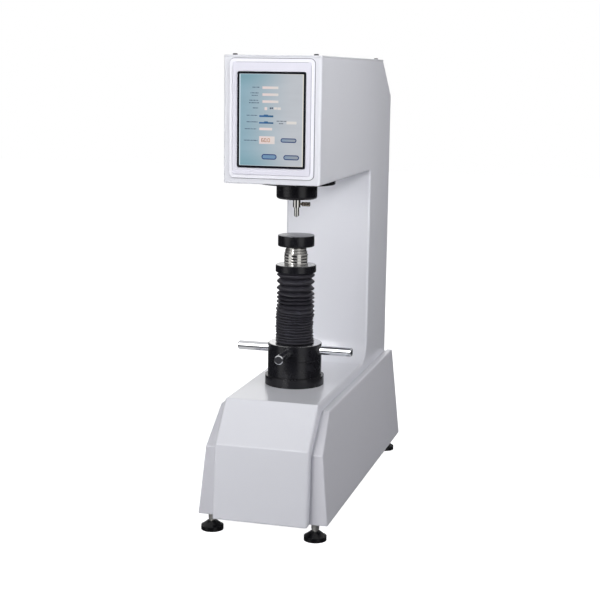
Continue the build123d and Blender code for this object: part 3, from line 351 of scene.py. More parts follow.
def splitByHeight(name, source, level, colour, contrast, roughness, metallic):
    # a copy of a black finish that is bare turned metal above a level
    material = looks[source].copy()
    material.name = name
    looks[name] = material
    tree = material.node_tree
    principled = tree.nodes["Principled BSDF"]
    under = principled.inputs["Base Color"].links[0].from_node
    place = addNode(tree, "ShaderNodeTexCoord").outputs["Object"]
    parts = addNode(tree, "ShaderNodeSeparateXYZ", {0: place}).outputs
    above = calc(tree, "GREATER_THAN", parts["Z"], level)
    over = addNode(tree, "ShaderNodeGroup", {
        "Colour": fromScreen(*colour), "Centre": axisPoint, "Contrast": contrast, "Roughness": roughness},
        node_tree=turnedMetal)
    rough = addNode(tree, "ShaderNodeMix", {
        "Factor": above, 2: under.outputs["Roughness"], 3: over.outputs["Roughness"]})
    setInputs(principled, {
        "Base Color": mixColours(tree, above, under.outputs["Colour"], over.outputs["Colour"]), "Roughness": rough,
        "Metallic": calc(tree, "MULTIPLY", above, metallic)})


sprayedPaint, turnedMetal, handlingMarks, litImage = paintGroup(), turnedGroup(), wearGroup(), litGroup()
screwLow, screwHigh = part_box("elevating_screw")
axisX, axisY = (screwLow[0] + screwHigh[0]) / 2, (screwLow[1] + screwHigh[1]) / 2
axisPoint = (axisX, axisY, 0.0)

# colour, drift, roughness, scale of the orange peel, its depth and the softened edge in mm, other inputs
painted = {
    "castingPaint": ((226, 227, 233), 0.02, 0.28, 900.0, 0.02, 3.5, {"Coat Weight": 0.5, "Coat Roughness": 0.08}),
    "skirtPaint": ((218, 218, 224), 0.02, 0.36, 900.0, 0.02, 1.6, {"Coat Weight": 0.4, "Coat Roughness": 0.12}),
    "rearPaint": ((222, 223, 228), 0.03, 0.45, 700.0, 0.04, 0.6, {}),
    "bezelPlastic": ((224, 223, 234), 0.01, 0.32, 900.0, 0.01, 0.7, {}),
    # painted highlight: a whiter plastic that stands for the light caught on the bezel's bevelled rim
    "rimPlastic": ((240, 240, 247), 0.01, 0.25, 900.0, 0.005, 0.4, {}),
}
for name, (colour, drift, roughness, peel, bump, soften, inputs) in painted.items():
    newMaterial(name, sprayedPaint, {
        "Colour": fromScreen(*colour), "Drift": drift, "Peel Scale": peel, "Roughness": roughness}, bump, soften,
        inputs)

# colour, colour of the marks, their amount and scale, roughness, relief and softened edge in mm, other inputs
marked = {
    "screenBlack": ((10, 11, 20), (26, 27, 36), 0.2, 60.0, 0.3, 0.005, 0, {"Specular IOR Level": 0.15}),
    "blackSteel": ((20, 20, 24), (48, 48, 54), 0.25, 45.0, 0.26, 0.006, 0.9, {"Specular IOR Level": 0.34}),
    "darkScrew": ((38, 38, 42), (110, 110, 112), 0.4, 400.0, 0.35, 0.004, 0, {"Metallic": 0.6}),
    "chrome": ((222, 223, 226), (200, 200, 202), 0.12, 160.0, 0.1, 0, 0, {"Metallic": 1.0}),
    "footChrome": ((205, 204, 200), (150, 150, 150), 0.3, 300.0, 0.32, 0, 0, {"Metallic": 1.0}),
    "rubber": ((8, 8, 11), (24, 24, 28), 0.3, 90.0, 0.26, 0.008, 0.6, {"Specular IOR Level": 0.3}),
    "bellowsRubber": ((42, 41, 47), (76, 76, 86), 0.4, 70.0, 0.45, 0.03, 0, {"Specular IOR Level": 0.3}),
    "plainSteel": ((176, 176, 178), (120, 118, 116), 0.3, 80.0, 0.32, 0.004, 0, {"Metallic": 1.0}),
    "zincSheet": ((186, 188, 192), (148, 150, 156), 0.7, 35.0, 0.38, 0.005, 0, {"Metallic": 0.9}),
    "castAlloy": ((168, 170, 174), (130, 132, 136), 0.4, 120.0, 0.5, 0.03, 0, {"Metallic": 0.8}),
    "castIron": ((66, 66, 70), (96, 88, 82), 0.3, 90.0, 0.55, 0.03, 0, {"Metallic": 0.5}),
    "boardGreen": ((20, 92, 58), (14, 60, 40), 0.6, 200.0, 0.35, 0, 0, {}),
    "mouldedBlack": ((28, 28, 30), (52, 52, 54), 0.3, 220.0, 0.42, 0.02, 0, {}),
    # painted shadow: a dark grey that stands for the shadow round the bezel's outer edge
    "sealGrey": ((96, 94, 106), (140, 138, 150), 0.4, 60.0, 0.5, 0.01, 0, {}),
    # painted shade: a grey that stands for the shade along the step inside the bezel
    "grooveGrey": ((150, 149, 162), (200, 199, 208), 0.4, 60.0, 0.5, 0.01, 0, {}),
    "bronzedSteel": ((150, 142, 132), (108, 98, 88), 0.5, 240.0, 0.24, 0.004, 0, {"Metallic": 1.0}),
    "markWhite": ((222, 222, 220), (160, 160, 158), 0.3, 300.0, 0.5, 0, 0, {}),
}
for name, (colour, mark, amount, scale, roughness, bump, soften, inputs) in marked.items():
    newMaterial(name, handlingMarks, {
        "Colour": fromScreen(*colour), "Mark Colour": fromScreen(*mark), "Amount": amount, "Scale": scale,
        "Roughness": roughness}, bump, soften, inputs)

# colour, contrast of the turning rings, roughness, relief in mm
turned = {
    "groundSteel": ((200, 199, 196), 0.25, 0.1, 0.004),
    "bronze": ((196, 152, 92), 0.3, 0.3, 0),
    "threadSteel": ((220, 218, 214), 0.2, 0.12, 0.002),
}
for name, (colour, contrast, roughness, bump) in turned.items():
    newMaterial(name, turnedMetal, {
        "Colour": fromScreen(*colour), "Centre": axisPoint, "Contrast": contrast, "Roughness": roughness}, bump,
        inputs={"Metallic": 1.0})

# colours left, right and in the bands at foot and top, streaks, left and right edge of the drift
lit = {
    "litScreen": ((138, 170, 184), (187, 191, 197), (122, 160, 172), 0.16, (-0.062, 0.040)),
    "linerWhite": ((205, 222, 232), (226, 222, 214), (205, 222, 232), 0.04, (-0.05, 0.05)),
    "litField": ((226, 208, 206), (216, 212, 208), (226, 208, 206), 0.10, (-0.015, 0.016)),
    "litList": ((62, 102, 150), (52, 92, 122), (62, 102, 150), 0.25, (-0.02, 0.01)),
    "litRim": ((24, 48, 112), (40, 62, 108), (24, 48, 112), 0.20, (-0.01, 0.045)),
    "litButton": ((112, 146, 178), (150, 156, 164), (112, 146, 178), 0.22, (-0.012, 0.05)),
    "litDigit": ((150, 104, 70), (200, 136, 84), (150, 104, 70), 0.10, (-0.015, 0.004)),
    "litCaption": ((62, 76, 102), (54, 62, 78), (62, 76, 102), 0.20, (-0.04, 0.03)),
}
for name, row in lit.items():
    litMaterial(name, *row)

# node whose top is bare, depth of the bare layer in mm, its colour, contrast, roughness, metallic
bareTops = {
    "anvilFinish": ("anvil", 0.9, (150, 150, 154), 0.25, 0.34, 0.9),
    "hubFinish": ("capstan_hub", 0.4, (196, 196, 196), 0.3, 0.2, 1.0),
    "ringFinish": ("bellows_top_ring", 0.5, (176, 176, 176), 0.3, 0.26, 0.9),
}
for name, (node, layer, *values) in bareTops.items():
    splitByHeight(name, "blackSteel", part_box(node)[1][2] - layer * mm, *values)

finishes = {
    "castingPaint": ("main_frame", "top_cover"),
    "rearPaint": ("rear_cover",),
    "skirtPaint": ("skirt_left", "skirt_right"),
    "bezelPlastic": ("bezel_plate",),
    "screenBlack": ("display_frame",),
    "mouldedBlack": ("display_module", "mains_inlet", "power_switch"),
    "blackSteel": ("under_head_plate", "spindle_guard", "screw_housing"),
    "hubFinish": ("capstan_hub",),
    "ringFinish": ("bellows_top_ring",),
    "anvilFinish": ("anvil",),
    "darkScrew": ("top_cover_screws", "rear_cover_screws"),
    "groundSteel": ("spindle", "indenter", "elevating_screw", "indenter_clamp_screw"),
    "chrome": ("capstan_bars",),
    "footChrome": ("foot_lock_nuts", *(name for name in nodes if name.startswith("foot_stud"))),
    "rubber": tuple(name for name in nodes if name.startswith("foot_pad")),
    "bellowsRubber": ("bellows",),
    "bronze": ("screw_nut", "spindle_bush"),
    "plainSteel": ("main_lever", "hanger_pin", "fulcrum_axle", "fulcrum_bracket", "weight_hanger", "load_cam",
                   "cam_shaft", "screw_key", "lower_race", "upper_race", "bearing_rollers", "depth_scale"),
    "zincSheet": ("base_plate", "motor_bracket", "power_supply"),
    "castAlloy": ("load_motor", "depth_encoder"),
    "castIron": ("load_weights",),
    "boardGreen": ("control_board",),
}
for look, names in finishes.items():
    for name in names:
        for holder in nodes[name].material_slots:
            holder.material = looks[look]
print("materials placed")


# the stage, the lamps and the camera
studio = {
    "floorSize": 16.0, "floorColour": (0.60, 0.60, 0.62, 1), "floorWhite": 0.93, "sky": (0.80, 0.80, 0.84, 1),
    "skyStrength": 0.22, "mirrorDark": (0.05, 0.05, 0.055, 1), "mirrorBright": (1.3, 1.3, 1.3, 1),
    "above": (0.12, 0.55, 0.6), "below": (-0.35, -0.75, 0.5),  # height where it starts, where it is full, how bright
    "cards": {"left": ((-0.70, -0.71, 0), 0.93, 0.965), "right": ((0.73, -0.68, 0), 0.92, 0.96),
              "behind": ((-0.27, 0.96, 0.1), 0.92, 0.98)},
}
half = studio["floorSize"] / 2
floorMesh = bpy.data.meshes.new("studioFloor")
floorMesh.from_pydata([(-half, -half, 0), (half, -half, 0), (half, half, 0), (-half, half, 0)], [], [(0, 1, 2, 3)])
studioFloor = meshObject("studioFloor", floorMesh)
floorTree, floorShader = plainMaterial("floorPaint")
floorRays = addNode(floorTree, "ShaderNodeLightPath").outputs
setInputs(floorShader, {
    "Base Color": studio["floorColour"], "Roughness": 0.9, "Specular IOR Level": 0.0, "Emission Color": (1, 1, 1, 1),
    "Emission Strength": calc(floorTree, "MULTIPLY", floorRays["Is Camera Ray"], studio["floorWhite"])})
# mirrored rays pass through the floor, so that metal shows the cards below the horizon too
setInputs(floorTree.nodes["Material Output"], {"Surface": addNode(floorTree, "ShaderNodeMixShader", {
    0: floorRays["Is Glossy Ray"], 1: floorShader, 2: addNode(floorTree, "ShaderNodeBsdfTransparent")})})
studioFloor.data.materials.append(looks["floorPaint"])

world = bpy.data.worlds.new("studioWorld")
bpy.context.scene.world = world
world.use_nodes = True
sky = world.node_tree
background = sky.nodes["Background"]
setInputs(background, {"Color": studio["sky"], "Strength": studio["skyStrength"]})
rays = addNode(sky, "ShaderNodeLightPath").outputs
plainWhite = addNode(sky, "ShaderNodeBackground", {"Color": (1, 1, 1, 1), "Strength": 1.0})
# what metal mirrors: bright above and below, dark round the horizon, with tall white cards
around = addNode(sky, "ShaderNodeTexCoord").outputs["Generated"]
height = addNode(sky, "ShaderNodeSeparateXYZ", {0: around}).outputs["Z"]
brightest = calc(sky, "MAXIMUM", mapRange(sky, height, *studio["above"]), mapRange(sky, height, *studio["below"]))
for facing, edge, full in studio["cards"].values():
    towards = vectorCalc(sky, "DOT_PRODUCT", around, facing).outputs["Value"]
    brightest = calc(sky, "MAXIMUM", brightest, mapRange(sky, towards, edge, full))
mirrored = mixColours(sky, brightest, studio["mirrorDark"], studio["mirrorBright"])
# one tall bright strip lamp, left of the camera, that draws thin lights along edges and down round parts
strip = {"facing": (-0.365, -0.931, 0), "across": (0.984, 0.993), "low": (0.05, 0.15), "high": (0.76, 0.70),
         "strength": 5.0}
bearing = vectorCalc(sky, "NORMALIZE", vectorCalc(sky, "MULTIPLY", around, (1, 1, 0)))
stripGlow = mapRange(sky, vectorCalc(sky, "DOT_PRODUCT", bearing, strip["facing"]).outputs["Value"], *strip["across"])
for limits in (strip["low"], strip["high"]):
    stripGlow = calc(sky, "MULTIPLY", stripGlow, mapRange(sky, height, *limits))
withStrip = vectorCalc(sky, "ADD", mirrored, calc(sky, "MULTIPLY", stripGlow, strip["strength"]))
mirrorSky = addNode(sky, "ShaderNodeBackground", {"Strength": 1.0, "Color": withStrip})
unseen = addNode(sky, "ShaderNodeMixShader", {0: rays["Is Glossy Ray"], 1: background, 2: mirrorSky})
seen = calc(sky, "MAXIMUM", rays["Is Camera Ray"], rays["Is Transmission Ray"])
setInputs(sky.nodes["World Output"], {"Surface": addNode(sky, "ShaderNodeMixShader", {
    0: seen, 1: unseen, 2: plainWhite})})

lamps = {
    "frontLamp": {"place": (-0.7, -2.05, 2.5), "aim": (0, -0.2, 0.7), "size": 1.2, "power": 5.6, "spread": 180},
    "headLamp": {"place": (-0.95, -1.55, 0.85), "aim": (0, -0.26, 0.66), "size": 0.9, "power": 5.7, "spread": 110},
    "sideLamp": {"place": (2.0, -0.7, 1.5), "aim": (0.1, -0.1, 0.7), "size": 0.8, "power": 20.0, "spread": 180},
    "upperSideLamp": {"place": (0.95, -0.75, 1.3), "aim": (0.08, -0.02, 0.74), "size": 0.5, "power": 0.97,
                      "spread": 55},
    "lowLamp": {"place": (-0.3, -2.4, 0.5), "aim": (0, -0.2, 0.4), "size": 1.0, "power": 4.8, "spread": 180},
    "backLamp": {"place": (-0.6, 2.4, 1.6), "aim": (0, 0.2, 0.4), "size": 1.6, "power": 17.0, "spread": 180},
}
for name, lamp in lamps.items():
    light = bpy.data.lights.new(name, "AREA")
    light.shape = "SQUARE"
    light.size, light.energy, light.spread = lamp["size"], lamp["power"], math.radians(lamp["spread"])
    holder = bpy.data.objects.new(name, light)
    holder.location = lamp["place"]
    holder.rotation_euler = (Vector(lamp["aim"]) - Vector(lamp["place"])).to_track_quat("-Z", "Y").to_euler()
    holder.visible_glossy = False  # metal mirrors the cards in the world instead
    bpy.context.scene.collection.objects.link(holder)

view = {"place": (0.6044, -2.298, 0.7604), "yaw": 15.2, "pitch": 9.8, "roll": 0.8, "pixels": 1310.0, "frame": 601.0,
        "sensor": 36.0}
yaw, pitch, roll = (math.radians(view[key]) for key in ("yaw", "pitch", "roll"))
ahead = Vector((-math.sin(yaw) * math.cos(pitch), math.cos(yaw) * math.cos(pitch), -math.sin(pitch)))
level = Vector((math.cos(yaw), math.sin(yaw), 0))
above = level.cross(ahead)
rightward = level * math.cos(roll) + above * math.sin(roll)
upward = above * math.cos(roll) - level * math.sin(roll)
cameraData = bpy.data.cameras.new("viewCamera")
cameraData.sensor_width = view["sensor"]
cameraData.lens = view["pixels"] / view["frame"] * view["sensor"]
camera = bpy.data.objects.new("viewCamera", cameraData)
turn = Matrix((rightward, upward, -ahead)).transposed().to_4x4()
camera.matrix_world = Matrix.Translation(view["place"]) @ turn
bpy.context.scene.collection.objects.link(camera)
bpy.context.scene.camera = camera
bpy.context.scene.view_settings.view_transform = "Standard"
print("stage, lamps and camera placed")


def bakeNodes(name, tree, look, values, points=((0, 0, 0),)):
    # the tree's result as a plain mesh, with the inputs set by their identifiers
    seed = bpy.data.meshes.new(name)
    seed.from_pydata([tuple(point) for point in points], [], [])
    piece = meshObject(name, seed)
    modifier = piece.modifiers.new(name, "NODES")
    modifier.node_group = tree
    sockets = {item.name: item for item in tree.interface.items_tree if item.in_out == "INPUT"}
    for label, value in {**values, "Finish": looks[look]}.items():
        modifier[sockets[label].identifier] = value
    piece.update_tag()
    graph = bpy.context.evaluated_depsgraph_get()
    mesh = bpy.data.meshes.new_from_object(piece.evaluated_get(graph), depsgraph=graph)
    piece.modifiers.clear()
    piece.data = mesh
    return piece


def newSolids(name, inputs):
    return newGroup(name, {**inputs, "Finish": "Material"}, {"Solids": "Geometry"}, "GeometryNodeTree")


def closeSolids(tree, given, source):
    real = addNode(tree, "GeometryNodeRealizeInstances", {0: source})
    return closeGroup(tree, Solids=addNode(tree, "GeometryNodeSetMaterial", {
        "Geometry": real, "Material": given["Finish"]}))


def screwHeadTree():
    # a low domed head with a hexagon socket, one on each point, each turned its own way
    tree, given = newSolids("screwHeads", {
        "Places": "Geometry", "Head Radius": 0.004, "Head Height": 0.0024, "Socket Radius": 0.0019,
        "Facing": (0.0, 0.0, 1.0), "Seed": 3})
    rim = calc(tree, "MULTIPLY", given["Head Height"], 0.55)
    dome = calc(tree, "MULTIPLY", given["Head Height"], 0.45)
    body = addNode(tree, "GeometryNodeMeshCylinder", {"Vertices": 36, "Radius": given["Head Radius"], "Depth": rim})
    crown = addNode(tree, "GeometryNodeExtrudeMesh", {
        "Individual": False, "Mesh": body.outputs["Mesh"], "Selection": body.outputs["Top"], "Offset Scale": dome},
        mode="FACES")
    taper = addNode(tree, "GeometryNodeScaleElements", {
        "Scale": 0.8, "Geometry": crown.outputs["Mesh"], "Selection": crown.outputs["Top"]}, domain="FACE")
    rise = addNode(tree, "ShaderNodeCombineXYZ", {"Z": calc(tree, "MULTIPLY", rim, 0.5)})
    seated = addNode(tree, "GeometryNodeTransform", {"Geometry": taper, "Translation": rise})
    cutter = addNode(tree, "GeometryNodeMeshCylinder", {
        "Vertices": 6, "Radius": given["Socket Radius"], "Depth": given["Head Height"]})
    top = addNode(tree, "ShaderNodeCombineXYZ", {"Z": given["Head Height"]})
    raised = addNode(tree, "GeometryNodeTransform", {"Geometry": cutter, "Translation": top})
    socket = addNode(tree, "GeometryNodeMeshBoolean", {"Mesh 1": seated, "Mesh 2": raised}, operation="DIFFERENCE")
    align = addNode(tree, "FunctionNodeAlignRotationToVector", {"Vector": given["Facing"]}, axis="Z")
    placed = addNode(tree, "GeometryNodeInstanceOnPoints", {
        "Points": given["Places"], "Instance": socket, "Rotation": align})
    chance = addNode(tree, "FunctionNodeRandomValue", {"Seed": given["Seed"], 3: 2 * math.pi}, data_type="FLOAT")
    spin = addNode(tree, "ShaderNodeCombineXYZ", {"Z": chance.outputs[1]})
    spun = addNode(tree, "GeometryNodeRotateInstances", {"Local Space": True, "Instances": placed, "Rotation": spin})
    return closeSolids(tree, given, spun)


def threadTree():
    # a rounded thread ridge wound up a cylinder or a cone
    tree, given = newSolids("threadRidge", {
        "Start Radius": 0.02, "End Radius": 0.02, "Length": 0.05, "Turns": 10.0, "Ridge": 0.001,
        "Foot": (0.0, 0.0, 0.0)})
    wound = addNode(tree, "GeometryNodeCurveSpiral", {
        "Resolution": 64, "Rotations": given["Turns"], "Start Radius": given["Start Radius"],
        "End Radius": given["End Radius"], "Height": given["Length"]})
    section = addNode(tree, "GeometryNodeCurvePrimitiveCircle", {"Resolution": 8, "Radius": given["Ridge"]})
    swept = addNode(tree, "GeometryNodeCurveToMesh", {"Fill Caps": True, "Curve": wound, "Profile Curve": section})
    placed = addNode(tree, "GeometryNodeTransform", {"Geometry": swept, "Translation": given["Foot"]})
    return closeSolids(tree, given, placed)


def captionTree():
    # short bars of uneven length, one on each point, that stand for lines of small print
    tree, given = newSolids("captionBars", {
        "Places": "Geometry", "Bar Length": 0.002, "Bar Height": 0.001, "Bar Depth": 0.0001, "Seed": 7})
    size = addNode(tree, "ShaderNodeCombineXYZ", {
        "X": given["Bar Length"], "Y": given["Bar Depth"], "Z": given["Bar Height"]})
    bar = addNode(tree, "GeometryNodeMeshCube", {"Size": size})
    chance = addNode(tree, "FunctionNodeRandomValue", {"Seed": given["Seed"], 2: 0.55, 3: 1.05}, data_type="FLOAT")
    stretch = addNode(tree, "ShaderNodeCombineXYZ", {"X": chance.outputs[1], "Y": 1.0, "Z": 1.0})
    placed = addNode(tree, "GeometryNodeInstanceOnPoints", {
        "Points": given["Places"], "Instance": bar, "Scale": stretch})
    return closeSolids(tree, given, placed)


screwHeads, threadRidge, captionBars = screwHeadTree(), threadTree(), captionTree()


def showPlates(name, places, y, depth, look):
    finishPiece(platesObject(name, inMetres(places), y, depth), "tester_frame", look)


# the touch screen: a lit glass panel, and what it shows just proud of it
screen = {"corner": 1.0, "edge": 0.3, "proud": 0.12, "linerSide": 1.5, "linerCap": 0.5, "glyphStep": 0.05,
          "faceStep": 0.05, "digitStep": 0.06}
glassLow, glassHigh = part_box("display_glass")
glassY = glassLow[1]
glassPlace = ((glassLow[0] + glassHigh[0]) / 2, (glassLow[2] + glassHigh[2]) / 2, glassHigh[0] - glassLow[0],
              glassHigh[2] - glassLow[2], screen["corner"] * mm)
markDepth = screen["proud"] * mm
markY = glassY - markDepth
touchPanel = platesObject("touchPanel", [glassPlace], glassY, glassHigh[1] - glassY, screen["edge"] * mm)
finishPiece(touchPanel, "tester_frame", "litScreen", ("display_glass",))
screenLiner = borderObject(
    "screenLiner", [(glassPlace, screen["linerSide"] * mm, screen["linerCap"] * mm)], markY, markDepth)
finishPiece(screenLiner, "tester_frame", "linerWhite")

# millimetres on the face: x, z, width, height, corner
fieldPlaces = [
    (-1.6, 738.4, 26.6, 4.0, 0.4), (-1.5, 727.5, 26.6, 4.0, 0.4), (-1.4, 716.4, 26.6, 4.0, 0.4),
    (-8.9, 705.3, 4.4, 4.8, 0.3), (7.2, 705.9, 5.0, 3.6, 0.4), (13.2, 705.7, 5.6, 3.8, 0.4),
    (-8.8, 672.8, 21.5, 4.0, 0.4), (34.1, 683.4, 16.6, 4.4, 0.4), (-6.7, 655.1, 26.0, 12.2, 0.5)]
showPlates("screenFields", fieldPlaces, markY, markDepth, "litField")
listPlaces = [
    (-8.0, 693.2, 23.6, 3.0, 0.8), (-8.1, 682.5, 24.1, 2.5, 0.8), (-8.6, 694.9, 7.6, 1.9, 0.9),
    (-8.4, 684.2, 6.4, 1.7, 0.8)]
showPlates("screenLists", listPlaces, markY, markDepth, "litList")
glyphPlaces = [(-1.2, 706.0, 2.0, 2.8, 0.2), (1.8, 706.2, 2.6, 2.4, 0.2)]
showPlates("screenGlyphs", glyphPlaces, markY - screen["glyphStep"] * mm, markDepth, "litCaption")
buttons = {
    "places": [(29.5, 655.3, 26.4, 7.0, 3.4), (-2.8, 628.4, 25.3, 8.6, 4.2), (34.3, 628.0, 26.1, 7.9, 3.9)],
    "rim": 1.5}
rim = buttons["rim"]
buttonRims = borderObject(
    "screenButtonRims", [(place, rim * mm, rim * mm) for place in inMetres(buttons["places"])], markY, markDepth)
finishPiece(buttonRims, "tester_frame", "litRim")
buttonFaces = [
    (x, z, wide - 2 * rim, tall - 2 * rim, tall / 2 - rim) for x, z, wide, tall, corner in buttons["places"]]
showPlates("screenButtonFaces", buttonFaces, markY + screen["faceStep"] * mm, markDepth / 2, "litButton")

# a reading such as the machine shows, in seven bars a digit
readout = {
    "digits": "60.0", "left": -15.6, "middle": 655.0, "wide": 3.0, "tall": 5.2, "bar": 0.85, "step": 4.6, "dot": 1.2,
    "dotBack": 0.6, "dotCorner": 0.1, "barCorner": 0.15}
# each bar of a digit: how far across and up from its middle, and whether it lies flat
digitBars = {
    "a": (0, 1, True), "b": (0.5, 0.5, False), "c": (0.5, -0.5, False), "d": (0, -1, True), "e": (-0.5, -0.5, False),
    "f": (-0.5, 0.5, False), "g": (0, 0, True)}
barsOf = {"6": "afgcde", "0": "abcdef"}
readoutPlaces = []
pen = readout["left"]
for character in readout["digits"]:
    if character == ".":
        readoutPlaces.append((pen - readout["dotBack"], readout["middle"] - readout["tall"] / 2, readout["bar"],
                              readout["bar"], readout["dotCorner"]))
        pen += readout["dot"]
        continue
    for bar in barsOf[character]:
        across, up, flat = digitBars[bar]
        size = (readout["wide"], readout["bar"]) if flat else (readout["bar"], readout["tall"] / 2)
        readoutPlaces.append((pen + readout["wide"] / 2 + across * readout["wide"],
                              readout["middle"] + up * readout["tall"] / 2, *size, readout["barCorner"]))
    pen += readout["step"]
showPlates("readoutDigits", readoutPlaces, markY - screen["digitStep"] * mm, markDepth, "litDigit")

# lines of small print: left end, right end, height
captions = {
    "rows": [(-31.7, -20.1, 738.9), (-35.3, -21.1, 729.9), (-33.1, -22.6, 726.0), (-36.8, -21.5, 718.2),
             (-37.3, -20.4, 714.2), (-30.9, -21.4, 706.0), (-41.3, -22.9, 694.2), (-41.2, -22.3, 683.8),
             (-44.3, -24.3, 672.6), (-45.8, -22.0, 654.2), (9.1, 25.8, 685.8), (13.3, 20.6, 681.9)],
    "step": 2.4, "long": 1.95, "tall": 1.35, "seed": 7}
captionPoints = []
for left, right, z in captions["rows"]:
    count = max(2, round((right - left) / captions["step"]))
    for index in range(count):
        captionPoints.append(((left + (index + 0.5) * (right - left) / count) * mm, markY, z * mm))
screenCaptions = bakeNodes("screenCaptions", captionBars, "litCaption", {
    "Bar Length": captions["long"] * mm, "Bar Height": captions["tall"] * mm, "Bar Depth": markDepth,
    "Seed": captions["seed"]}, captionPoints)
finishPiece(screenCaptions, "tester_frame", "litCaption")

# the bezel's painted shadow and highlight lines: a dark grey line for the shadow round its outer edge, a whiter band
# for the light caught on its raised rim and a grey line for the shade of the step inside it, each a line round the
# outer or the inner edge
bezel = {
    "outer": (0.0, 688.7, 142.0, 191.4, 8.0), "inner": (0.0, 688.7, 130.0, 179.4, 6.5),
    # painted shadow round the bezel's outer edge
    "bezelShadowLine": {"edge": "outer", "grown": True, "side": 0.75, "cap": 0.9, "front": -262.25, "depth": 0.3,
                  "look": "sealGrey"},
    # painted highlight on the bezel's bevelled rim
    "paintedRimHighlight": {"edge": "outer", "grown": False, "side": 5.4, "cap": 5.4, "front": -264.06, "depth": 0.1,
                 "look": "rimPlastic"},
    # painted shade along the step inside the bezel
    "bezelStepShade": {"edge": "inner", "grown": True, "side": 0.6, "cap": 0.6, "front": -264.12, "depth": 0.2,
                    "look": "grooveGrey"}}
for name in ("bezelShadowLine", "paintedRimHighlight", "bezelStepShade"):
    line = bezel[name]
    side, cap = line["side"], line["cap"]
    x, z, wide, tall, corner = bezel[line["edge"]]
    if line["grown"]:
        wide, tall, corner = wide + 2 * side, tall + 2 * cap, corner + side
    border = borderObject(name, [(inMetres([(x, z, wide, tall, corner)])[0], side * mm, cap * mm)],
                          line["front"] * mm, line["depth"] * mm)
    finishPiece(border, "tester_frame", line["look"])
print("touch screen and bezel made")

# the pleated rubber bellows round the screw: open folds above, closed and slumped ones below
bellows = {
    "top": 419.5, "bottom": 293.0, "neck": 29.5, "bore": 24.0, "segments": 128, "perFold": 7, "fullness": 0.85,
    "openTips": (413.6, 401.8, 390.1, 379.7, 372.8, 366.3, 358.3), "openTip": 34.0, "openRoot": 27.3, "openLoose": 0.35,
    "closedTop": 353.0, "closedFolds": 12, "closedTip": 34.6, "closedRoot": 31.6, "closedLoose": 1.0, "waist": 1.0,
    "lean": 1.5, "topCalm": 12, "bottomCalm": 8, "slant": 2.4, "slantTurn": 0.5, "slantHeight": 347, "slantReach": 9,
    # waves round each fold: size, how many, turn from fold to fold, where the first begins
    "lumps": ((0.45, 3, 1.7, 0), (0.3, 5, -2.3, 1)),
    "tilts": ((-0.5, 1, 0, math.pi / 2), (0.45, 2, 2.1, 0), (0.3, 7, 0.9, 0))}
folds = []  # height of the lower root, the tip and the upper root, radius of the tip and the root, looseness
upper = bellows["top"]
for tip, nextTip in zip(bellows["openTips"], bellows["openTips"][1:] + (None,)):
    lower = (tip + nextTip) / 2 if nextTip else bellows["closedTop"]
    folds.append((lower, tip, upper, bellows["openTip"], bellows["openRoot"], bellows["openLoose"]))
    upper = lower
closedTall = bellows["closedTop"] - bellows["bottom"]
closedPitch = closedTall / bellows["closedFolds"]
for index in range(bellows["closedFolds"]):
    waist = bellows["waist"] * math.sin(math.pi * (index + 0.5) / bellows["closedFolds"])
    folds.append((upper - closedPitch, upper - closedPitch / 2, upper, bellows["closedTip"] - waist,
                  bellows["closedRoot"] - waist, bellows["closedLoose"]))
    upper -= closedPitch


def waves(rows, angle, fold):
    return sum(size * math.sin(count * angle + turn * fold + begin) for size, count, turn, begin in rows)


def bellowsRing(bm, placeOf):
    # placeOf gives the radius, the height and the sideways lean at an angle
    ring = []
    for index in range(bellows["segments"]):
        angle = 2 * math.pi * index / bellows["segments"]
        radius, height, lean = placeOf(angle)
        ring.append(bm.verts.new((axisX + (radius * math.cos(angle) + lean) * mm,
                                  axisY + radius * math.sin(angle) * mm, height * mm)))
    return ring


def foldPlace(fold, share):
    lower, tip, top, tipRadius, rootRadius, loose = folds[fold]
    height = top + (tip - top) * 2 * share if share < 0.5 else tip + (lower - tip) * (2 * share - 1)
    out = (1 - abs(2 * share - 1)) ** bellows["fullness"]
    above = height - bellows["bottom"]
    calm = min(1.0, (bellows["top"] - height) / bellows["topCalm"], above / bellows["bottomCalm"])
    near = math.exp(-((height - bellows["slantHeight"]) / bellows["slantReach"]) ** 2)
    lean = -bellows["lean"] * loose * math.sin(math.pi * above / closedTall) * calm

    def placeAt(angle):
        lump = waves(bellows["lumps"], angle, fold)
        away = rootRadius + (tipRadius - rootRadius) * out + lump * loose * (0.4 + 0.6 * out) * calm
        if fold == 0 and share < 0.5:
            away = max(away, bellows["neck"] * (1 - out) + away * out)
        slant = -bellows["slant"] * math.cos(angle + bellows["slantTurn"]) * near
        rise = height + (waves(bellows["tilts"], angle, fold) * (0.6 + 0.5 * loose) + slant) * calm
        return away, rise, lean if height < bellows["closedTop"] else 0
    return placeAt


bm = bmesh.new()
rings = []
for fold in range(len(folds)):
    for step in range(bellows["perFold"]):
        rings.append(bellowsRing(bm, foldPlace(fold, step / bellows["perFold"])))
# the foot and the bore close the skin to a solid
for radius, height in ((bellows["closedRoot"], bellows["bottom"]), (bellows["bore"], bellows["bottom"]),
                       (bellows["bore"], (bellows["bottom"] + bellows["top"]) / 2), (bellows["bore"], bellows["top"])):
    rings.append(bellowsRing(bm, lambda angle: (radius, height, 0)))
for first, second in zip(rings, rings[1:] + rings[:1]):
    stitch(bm, first, second)
pleatedBellows = objectFrom(bm, "pleatedBellows")
smoothShade(pleatedBellows, 50)
pleatedBellows.data.materials.append(looks["bellowsRubber"])
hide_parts("bellows")
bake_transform(pleatedBellows)
print("bellows made")

